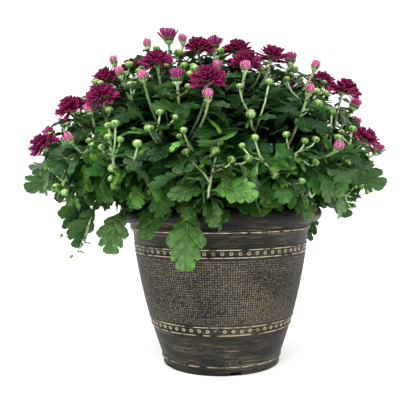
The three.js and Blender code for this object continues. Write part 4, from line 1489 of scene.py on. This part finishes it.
def wallRadius(z):
    return 61.2 + 0.3 * (z - 8) - 0.001 * (z - 8) * (z - 66)


def onWall(z, proud=0.0):
    return wallRadius(z) + proud, z


def raisedLine(z):
    return [onWall(z - 1.0), onWall(z - 0.55, 0.75), onWall(z + 0.35, 0.85), onWall(z + 0.9)]


def potProfile():
    # (radius, height) from the middle of the bottom, up the outside and down the inside
    low, high = potLook["band"]
    rows = [onWall(low + (high - low) * i / potLook["bandRows"]) for i in range(potLook["bandRows"] + 1)]
    lines = [raisedLine(z) for z in potLook["lines"]]
    middle, radius = potLook["lipCentre"], potLook["lipRadius"]
    turns = [radians(turn) for turn in range(*potLook["lipTurn"])]
    lip = [(middle[0] + radius * math.cos(turn), middle[1] + radius * math.sin(turn)) for turn in turns]
    bottom = [(0, 1.2), (40, 1.2), (47, 0.8), (52, 0), (59.6, 0), (60.7, 0.8)]
    foot = [(60.9, 6.6), (62.3, 7.4), (62.5, 8.6), (62.6, 9.4), (62.2, 10.8)]
    foot += [onWall(12), onWall(12.8, -0.3), onWall(14)]
    collar = [onWall(137.2), (91.6, 137.8), (92.6, 138.4), (92.4, 139.3), (93.2, 140.2), (94.0, 140.9)]
    collar += [(93.5, 142), (93.7, 145.4), (94.6, 146.6)]
    inside = [(90.4, 160), (88.6, 157), (87.9, 150), (87.2, 141), (84, 110), (75, 60), (60, 6), (0, 6)]
    plain = [onWall(z) for z in (21, 28, 35, 40)]
    smooth = [onWall(z) for z in (127, 131, 134.5)]
    below = bottom + foot + plain + lines[0] + lines[1]
    return below + rows + lines[2] + lines[3] + smooth + collar + lip + inside


def cutNotches(bm):
    # the foot is arched up at each drain notch
    notches = potLook["notches"]
    pitch = 360 / notches["count"]
    for v in bm.verts:
        turn = (math.degrees(math.atan2(v.co.x, -v.co.y)) - notches["first"]) % pitch
        aside = radians(min(turn, pitch - turn)) * v.co.xy.length
        onFoot = v.co.z < 0.9 and v.co.xy.length > potLook["footRadius"] - notches["depth"]
        if onFoot and aside < notches["width"] / 2:
            v.co.z = notches["height"]


def raiseBumps(bm, bumps):
    inset, height = potLook["bumpInset"], potLook["bumpHeight"]
    for face in bmesh.ops.inset_individual(bm, faces=bumps, thickness=inset, depth=height)["faces"]:
        middle = face.calc_center_median()
        face.normal_update()
        sideways = Vector((-middle.y, middle.x, 0)).normalized()
        if abs(face.normal.dot(sideways)) < 0.15:  # the sides of a bump that look up or down
            face.material_index = potSlots["goldBetween"]
    for face in bmesh.ops.poke(bm, faces=bumps, offset=potLook["bumpPeak"])["faces"]:
        face.material_index = potSlots["goldDots"]


def addPot():
    bm = turnedBmesh(potProfile(), potLook["segments"])
    cutNotches(bm)
    bumps = []
    low, high = potLook["band"]
    lineLow, lineHigh = potLook["lineTop"]
    for face in bm.faces:
        middle = face.calc_center_median()
        radius = middle.xy.length
        onOuter = abs(radius - wallRadius(middle.z)) < potLook["wallSkin"] and face.normal.xy.length > 0.5
        if onOuter and low < middle.z < high:
            bumps.append(face)
        onLine = onOuter and any(lineLow < middle.z - z < lineHigh for z in potLook["lines"])
        onStep = radius > 60 and any(a < middle.z < b for a, b in potLook["rubbedSteps"])
        if onLine or onStep:
            face.material_index = potSlots["goldLines"]
    raiseBumps(bm, bumps)
    builder = Builder()
    builder.stamp(asTemplate(bm, "pot"), Vector.copy, 0.5, 0)
    bead = beadTemplate()
    for z, count in potLook["beads"]:
        lean = math.atan2(wallRadius(z + 1) - wallRadius(z - 1), 2)
        for i in range(count):
            pose = Matrix.Rotation(fullTurn * i / count, 4, "Z") @ Matrix.Translation((wallRadius(z), 0, z))
            pose = pose @ Matrix.Rotation(math.pi / 2 + lean, 4, "Y")
            builder.stamp(bead, lambda p: pose @ p, draw(i, z), potSlots["goldBeads"])
    golds = [goldMaterial(name) for name in potSlots if name != "wall"]
    builder.finish("potShell", ["pot"], [potMaterial(), *golds])


def beadTemplate():
    around, steps = potLook["beadSteps"]
    bm = bmesh.new()
    bmesh.ops.create_circle(bm, segments=around, radius=potLook["beadWire"])
    bmesh.ops.rotate(bm, verts=bm.verts, matrix=Matrix.Rotation(math.pi / 2, 3, "X"))
    bmesh.ops.translate(bm, verts=bm.verts, vec=(potLook["beadRadius"], 0, 0))
    spinRound(bm, bm.verts[:] + bm.edges[:], steps)
    return asTemplate(bm, "bead")


# potting mix
mixLook = {
    "segments": 80,
    "rings": 22,
    "radius": 86.4,
    "depth": 30,
    "lump": 2.2,
    "rim": 4,  # mm from the edge that stay free of grains
    "sunk": 0.1,
    "turn": 6.28,  # radians at the most
    "rough": (0.75, 1.2),  # how far the corners of a grain lie from its middle
    "grains": (  # count, sizes, flatness, first key of the draws, slot
        (420, (2.2, 5.5), (1, 0.6, 0.35), 0, 1),
        (90, (0.9, 1.8), (1, 0.9, 0.8), 900, 2),
    ),
}


def addPottingMix():
    level, radius = plant["soilLevel"], mixLook["radius"]
    bottom = level - mixLook["depth"]
    profile = [(radius * i / mixLook["rings"], level) for i in range(mixLook["rings"] + 1)]
    profile += [(radius - 0.6, level - 5), (radius - 4, bottom), (0, bottom)]
    bm = turnedBmesh(profile, mixLook["segments"])
    for v in bm.verts:
        if v.co.z > level - 1:
            v.co.z += soilHeight(v.co.x, v.co.y)
    builder = Builder()
    builder.stamp(asTemplate(bm, "mix"), Vector.copy, 0.5, 0)
    grain = grainTemplate()
    for count, sizes, flatness, firstKey, slot in mixLook["grains"]:
        for key in range(firstKey, firstKey + count):
            pose = grainPose(key, within(*sizes, key, 93), flatness)

            def place(p):
                return pose @ (p * within(*mixLook["rough"], key, round(9 * p.x + 5 * p.y)))

            builder.stamp(grain, place, draw(key, 96), slot)
    materials = [peatMaterial(), barkMaterial(), perliteMaterial()]
    builder.finish("pottingMix", ["potting_mix"], materials)


def grainPose(key, size, flatness):
    out = (mixLook["radius"] - mixLook["rim"]) * math.sqrt(draw(key, 91))
    turn = fullTurn * draw(key, 92)
    x, y = out * math.cos(turn), out * math.sin(turn)
    place = Matrix.Translation((x, y, plant["soilLevel"] + soilHeight(x, y) + size * mixLook["sunk"]))
    spin = Matrix.Rotation(mixLook["turn"] * draw(key, 94), 4, "Z")
    tip = Matrix.Rotation(draw(key, 95) - 0.5, 4, "X")
    return place @ spin @ tip @ Matrix.Diagonal((*(size * share for share in flatness), 1))


def soilHeight(x, y):
    broad = math.sin(x * 0.09 + 1.3 * math.sin(y * 0.07)) * math.cos(y * 0.11 + 0.6)
    fine = math.sin(x * 0.46 + 2 * math.sin(y * 0.31)) * math.sin(y * 0.52 + 1)
    return mixLook["lump"] * (0.6 * broad + 0.4 * fine)


def grainTemplate():
    bm = bmesh.new()
    bmesh.ops.create_icosphere(bm, subdivisions=1, radius=1)
    return asTemplate(bm, "grain")


# the materials of the plant, in screen colours from 0 to 255
plantTints = {
    "paintedShadeReach": (0.69, 0.99),  # between these shares of the dome the colours go from the painted shade deep inside to the own colours outside
    "bark": ((84, 104, 54), (116, 136, 76)),
    "barkHigh": (148, 174, 110),
    "barkPaintedShade": (52, 62, 30),
    "skin": ((138, 170, 110), (212, 228, 180)),  # of the shoots
    "skinSpots": (112, 148, 80),
    "skinPaintedShade": (38, 58, 22),
    "leaf": ((9, 42, 9), (28, 84, 20), (112, 178, 70)),
    "leafSpots": (18, 64, 16),
    "leafLow": ((86, 124, 56), (34, 70, 24)),
    # painted shade of the leaves high in the crown
    "leafCrownShade": (10, 40, 11),
    "leafUnder": (58, 96, 44),
    "leafPaintedShade": (4, 17, 6),
    "veins": (128, 170, 100),
    "bud": ((78, 120, 52), (122, 162, 84), (204, 218, 150)),
    "budSeams": (86, 126, 62),
    "bract": ((48, 84, 32), (76, 122, 48), (146, 178, 100)),
    "bractRim": (140, 176, 96),
    "bractDark": (56, 94, 38),
    # florets: foot, middle, tip, underside, stripes, rim
    "open": ((36, 0, 18), (104, 2, 54), (150, 22, 90), (118, 12, 68), (56, 0, 28), (190, 72, 136)),
    "half": ((140, 104, 100), (120, 10, 74), (150, 32, 104), (138, 30, 96), (76, 0, 44), (214, 134, 178)),
    "pink": ((196, 212, 148), (168, 44, 110), (158, 22, 98), (180, 66, 124), (112, 4, 64), (232, 186, 208)),
    "rimShare": {"open": 0.45, "half": 0.6, "pink": 0.75},
}
plantShine = {"stem": 0.2, "shoot": 0.25, "leaf": 0.28, "bud": 0.25, "bract": 0.25, "floret": 0.1}
finished = {}


def once(maker):
    # a material is made at its first use and shared after that
    def shared(*values):
        key = (maker.__name__, *values)
        if key not in finished:
            finished[key] = maker(*values)
        return finished[key]
    return shared


def shade(look):
    # from the 0 to 255 of a screen colour to the shader's linear values
    return tuple(((v / 255 + 0.055) / 1.055) ** 2.4 if v > 10 else v / 255 / 12.92 for v in look) + (1,)


def paintedShadeInside(r, colour, dark):
    # painted shade: parts deep inside the plant, where the outer foliage shades them, get the darker colour
    return r.mix(r.outside(*plantTints["paintedShadeReach"]), shade(dark), colour)


@once
def stemMaterial():
    r = Recipe("stemBark", 0.65)
    colour = r.ramp(r.noise(60, 4), (0.3, 0.7), plantTints["bark"])
    colour = r.mix(r.height(168, 200), colour, shade(plantTints["barkHigh"]))
    # painted shade on stems deep inside the plant
    r.set(Base_Color=paintedShadeInside(r, colour, plantTints["barkPaintedShade"]))
    r.set(Specular_IOR_Level=plantShine["stem"])
    r.bump(r.noise(900, 2, stretch=(1, 1, 0.2)), 0.4, 0.0005)  # grain along the stem
    return r.material


@once
def shootMaterial():
    r = Recipe("shootSkin", 0.5)
    colour = r.ramp(r.attribute("tone"), (0, 1), plantTints["skin"])
    colour = r.mix(r.mask(r.noise(150), 0.4, 0.8), colour, shade(plantTints["skinSpots"]))
    # painted shade on shoots deep inside the plant
    r.set(Base_Color=paintedShadeInside(r, colour, plantTints["skinPaintedShade"]))
    r.set(Specular_IOR_Level=plantShine["shoot"])
    r.bump(r.noise(1500, 2), 0.3, 0.0002)
    return r.material


@once
def leafMaterial():
    r = Recipe("leafBlade", 0.5)
    along, around = r.uv()
    side = r.math("ABSOLUTE", r.waves(around, 1))  # 0 at the midrib and 1 at the rim
    green = r.ramp(r.attribute("tone"), (0, 0.45, 1), plantTints["leaf"])
    green = r.mix(r.mask(r.noise(120, 4), 0.4, 0.7), green, shade(plantTints["leafSpots"]))
    low = r.mix(r.mask(r.noise(200, 4), 0.35, 0.7), *(shade(look) for look in plantTints["leafLow"]))
    green = r.mix(r.times(r.height(205, 150), 0.85), green, low)
    # painted shade: leaves high in the crown, under the heads, are darker
    green = r.mix(r.times(r.height(200, 262), 0.8), green, shade(plantTints["leafCrownShade"]))
    veins = r.math("PINGPONG", r.plus(r.times(along, 15.0), 0.9), 1.5)  # one for every few rings
    veinMask = r.times(r.mask(veins, 0.3, 0.0), r.mask(side, 1.0, 0.2))
    lines = r.larger(veinMask, r.mask(side, 0.09, 0.02))
    green = r.mix(r.times(lines, 0.5), green, shade(plantTints["veins"]))
    under = r.mask(around, 0.499, 0.501)
    leaf = r.mix(under, green, shade(plantTints["leafUnder"]))
    # painted shade on leaves deep inside the plant
    r.set(Base_Color=paintedShadeInside(r, leaf, plantTints["leafPaintedShade"]))
    r.set(Roughness=r.plus(r.times(under, 0.3), 0.36))
    r.set(Specular_IOR_Level=r.times(r.outside(0.76, 1.02), plantShine["leaf"]))
    relief = r.math("SUBTRACT", r.times(r.noise(300, 3), 0.6), r.times(lines, 0.9))
    r.bump(relief, 0.8, 0.0022)
    return r.material


@once
def greenBudMaterial():
    r = Recipe("greenBud", 0.5)
    along, around = r.uv()
    ridge = r.waves(around, budLook["ridges"])
    colour = r.ramp(along, (0.1, 0.5, 0.9), plantTints["bud"])
    colour = r.mix(r.times(r.mask(ridge, -0.2, -1), 0.7), colour, shade(plantTints["budSeams"]))
    r.set(Base_Color=colour, Specular_IOR_Level=plantShine["bud"])
    r.bump(r.noise(900, 2), 0.3, 0.0003)
    return r.material


@once
def bractMaterial():
    r = Recipe("bract", 0.5)
    along, around = r.uv()
    colour = r.ramp(along, (0.2, 0.7, 1), plantTints["bract"])
    rim = r.math("ABSOLUTE", r.waves(around, 1))
    colour = r.mix(r.times(r.mask(rim, 0.6, 1.0), 0.35), colour, shade(plantTints["bractRim"]))
    r.set(Base_Color=r.mix(r.times(r.attribute("tone"), 0.5), colour, shade(plantTints["bractDark"])))
    r.set(Specular_IOR_Level=plantShine["bract"])
    r.bump(r.noise(900, 2), 0.3, 0.0003)
    return r.material


@once
def floretMaterial(kind):
    foot, middle, tip, below, stripe, edge = plantTints[kind]
    r = Recipe(kind + "Floret", 0.5)
    along, around = r.uv()
    colour = r.ramp(along, (0.08, 0.4, 0.97), (foot, middle, tip))
    lower = r.ramp(along, (0.1, 0.45, 1), (foot, below, below))
    colour = r.mix(r.mask(around, 0.49, 0.51), colour, lower)
    stripes = r.mask(r.waves(around, 6), 0.0, 1.0)
    colour = r.mix(r.times(r.times(stripes, r.mask(along, 0.15, 0.4)), 0.45), colour, shade(stripe))
    rim = r.math("ABSOLUTE", r.waves(around, 1))
    rim = r.times(r.times(r.mask(rim, 0.5, 0.95), r.mask(along, 0.2, 0.6)), plantTints["rimShare"][kind])
    colour = r.mix(rim, colour, shade(edge))
    if kind == "open":  # the florets in the middle of the dome are darker
        colour = r.mix(r.times(r.mask(r.attribute("tone"), 0.45, 1.0), 0.6), colour, shade(stripe))
    r.set(Base_Color=colour, Specular_IOR_Level=plantShine["floret"])
    r.bump(r.noise(700, 2), 0.25, 0.0003)
    return r.material


# the materials of the pot and the potting mix
potTints = {
    "charcoal": ((20, 20, 19), (34, 34, 32)),
    "charcoalPaintedShade": (13, 13, 12),  # painted shade from the collar up, where the foliage shades the pot
    "rubbed": (152, 138, 108),
    "goldGround": (19, 19, 18),
    "gold": (182, 169, 142),
    "peat": ((30, 22, 16), (74, 56, 40)),
    "bark": ((48, 34, 24), (108, 80, 54)),
    "barkSpots": (40, 28, 20),
    "perlite": ((176, 170, 158), (224, 220, 210)),
}


@once
def potMaterial():
    # char-coloured plastic with streaks of gold, weaker on the field of bumps and near the collar, and
    # painted shade from the collar up
    r = Recipe("charcoalPlastic", 0.5)
    char = r.ramp(r.noise(45, 5), (0.3, 0.7), potTints["charcoal"])
    # painted shade: darker from the collar up, under the foliage
    char = r.mix(r.height(128, 142), char, shade(potTints["charcoalPaintedShade"]))
    broad = r.mask(r.noise(1, 3, stretch=(22, 22, 420)), 0.56, 0.64)
    fine = r.mask(r.noise(1, 4, stretch=(48, 48, 1100)), 0.53, 0.72)
    patches = r.mask(r.noise(1, 3, stretch=(20, 20, 70)), 0.4, 0.62)
    specks = r.mask(r.noise(700, 2), 0.52, 0.7)
    rubbed = r.larger(r.larger(r.times(broad, 0.25), fine), r.times(specks, 0.4))
    rubbed = r.times(r.times(rubbed, patches), 0.75)
    band = r.times(r.height(50, 54), r.height(117, 113))
    weaker = r.larger(r.times(band, 0.65), r.times(r.height(120, 134), 0.3))
    rubbed = r.times(rubbed, r.math("SUBTRACT", 1, weaker))
    r.set(Base_Color=r.mix(rubbed, char, shade(potTints["rubbed"])))
    r.set(Roughness=r.plus(r.times(r.noise(60, 3), 0.25), 0.36), Specular_IOR_Level=0.15)
    r.bump(r.noise(1, 3, stretch=(60, 60, 1300)), 0.35, 0.0004)
    return r.material


@once
def goldMaterial(name):
    fineScale, broadShare, low, high = potLook["gold"][name]
    r = Recipe(name, 0.45)
    fine = r.noise(fineScale, 2)
    broad = r.times(r.noise(16, 2), broadShare)
    cover = r.mask(r.plus(fine, broad), low, high)
    r.set(Base_Color=r.mix(cover, shade(potTints["goldGround"]), shade(potTints["gold"])))
    r.set(Metallic=r.times(cover, 0.2), Specular_IOR_Level=0.14)
    r.bump(r.noise(900, 2), 0.3, 0.0002)
    return r.material


@once
def peatMaterial():
    r = Recipe("peat", 0.95)
    r.set(Base_Color=r.ramp(r.noise(260, 5), (0.3, 0.7), potTints["peat"]))
    r.bump(r.noise(500, 4), 0.9, 0.002)
    return r.material


@once
def barkMaterial():
    r = Recipe("barkChip", 0.85)
    colour = r.ramp(r.attribute("tone"), (0, 1), potTints["bark"])
    r.set(Base_Color=r.mix(r.mask(r.noise(420, 3), 0.4, 0.7), colour, shade(potTints["barkSpots"])))
    r.bump(r.noise(600, 3), 0.7, 0.001)
    return r.material


@once
def perliteMaterial():
    r = Recipe("perlite", 0.8)
    r.set(Base_Color=r.ramp(r.noise(600, 3), (0.3, 0.7), potTints["perlite"]))
    r.bump(r.noise(900, 3), 0.6, 0.0006)
    return r.material


addCamera()
addFloor()
addStudio()
print("camera, floor and light are set")
stems, terminals = growPlan()
print("shoots planned:", sum(len(stem["shoots"]) for stem in stems))
print("leaves of the solids:", sum(len(stem["leaves"]) for stem in stems))
leafRoom = Room(cell=9)
for stem in stems:
    for leaf in stem["leaves"]:
        keepClear(leaf, leafRoom)
for terminal in terminals:
    if terminal["kind"] != "green":
        addHead(terminal)
print("flower heads are made")
addPot()
addPottingMix()
print("pot and potting mix are made")
for shoot in forkedShoots:
    for _, way, _ in forkedWays(stems, shoot):
        clearStalk(way, shoot["bare"], leafRoom)
    for setting in shoot.get("leaves", ()):
        keepClear(setLeaf(Vector(shoot["fork"]), *setting), leafRoom)
for stem in stems:
    stem["twigs"] = [twig for shoot in stem["shoots"] for twig in planShootTwigs(shoot, leafRoom)]
planSprays(stems, leafRoom)
print("twigs with small buds:", sum(len(stem["twigs"]) for stem in stems))
fillings = [fillStem(stems, index, leafRoom) for index in range(len(stems))]
print("leaves added between:", sum(len(extras) for extras in fillings))
for index in range(len(stems)):
    addLeafyStem(stems, index, fillings[index])
print("leafy stems are made")
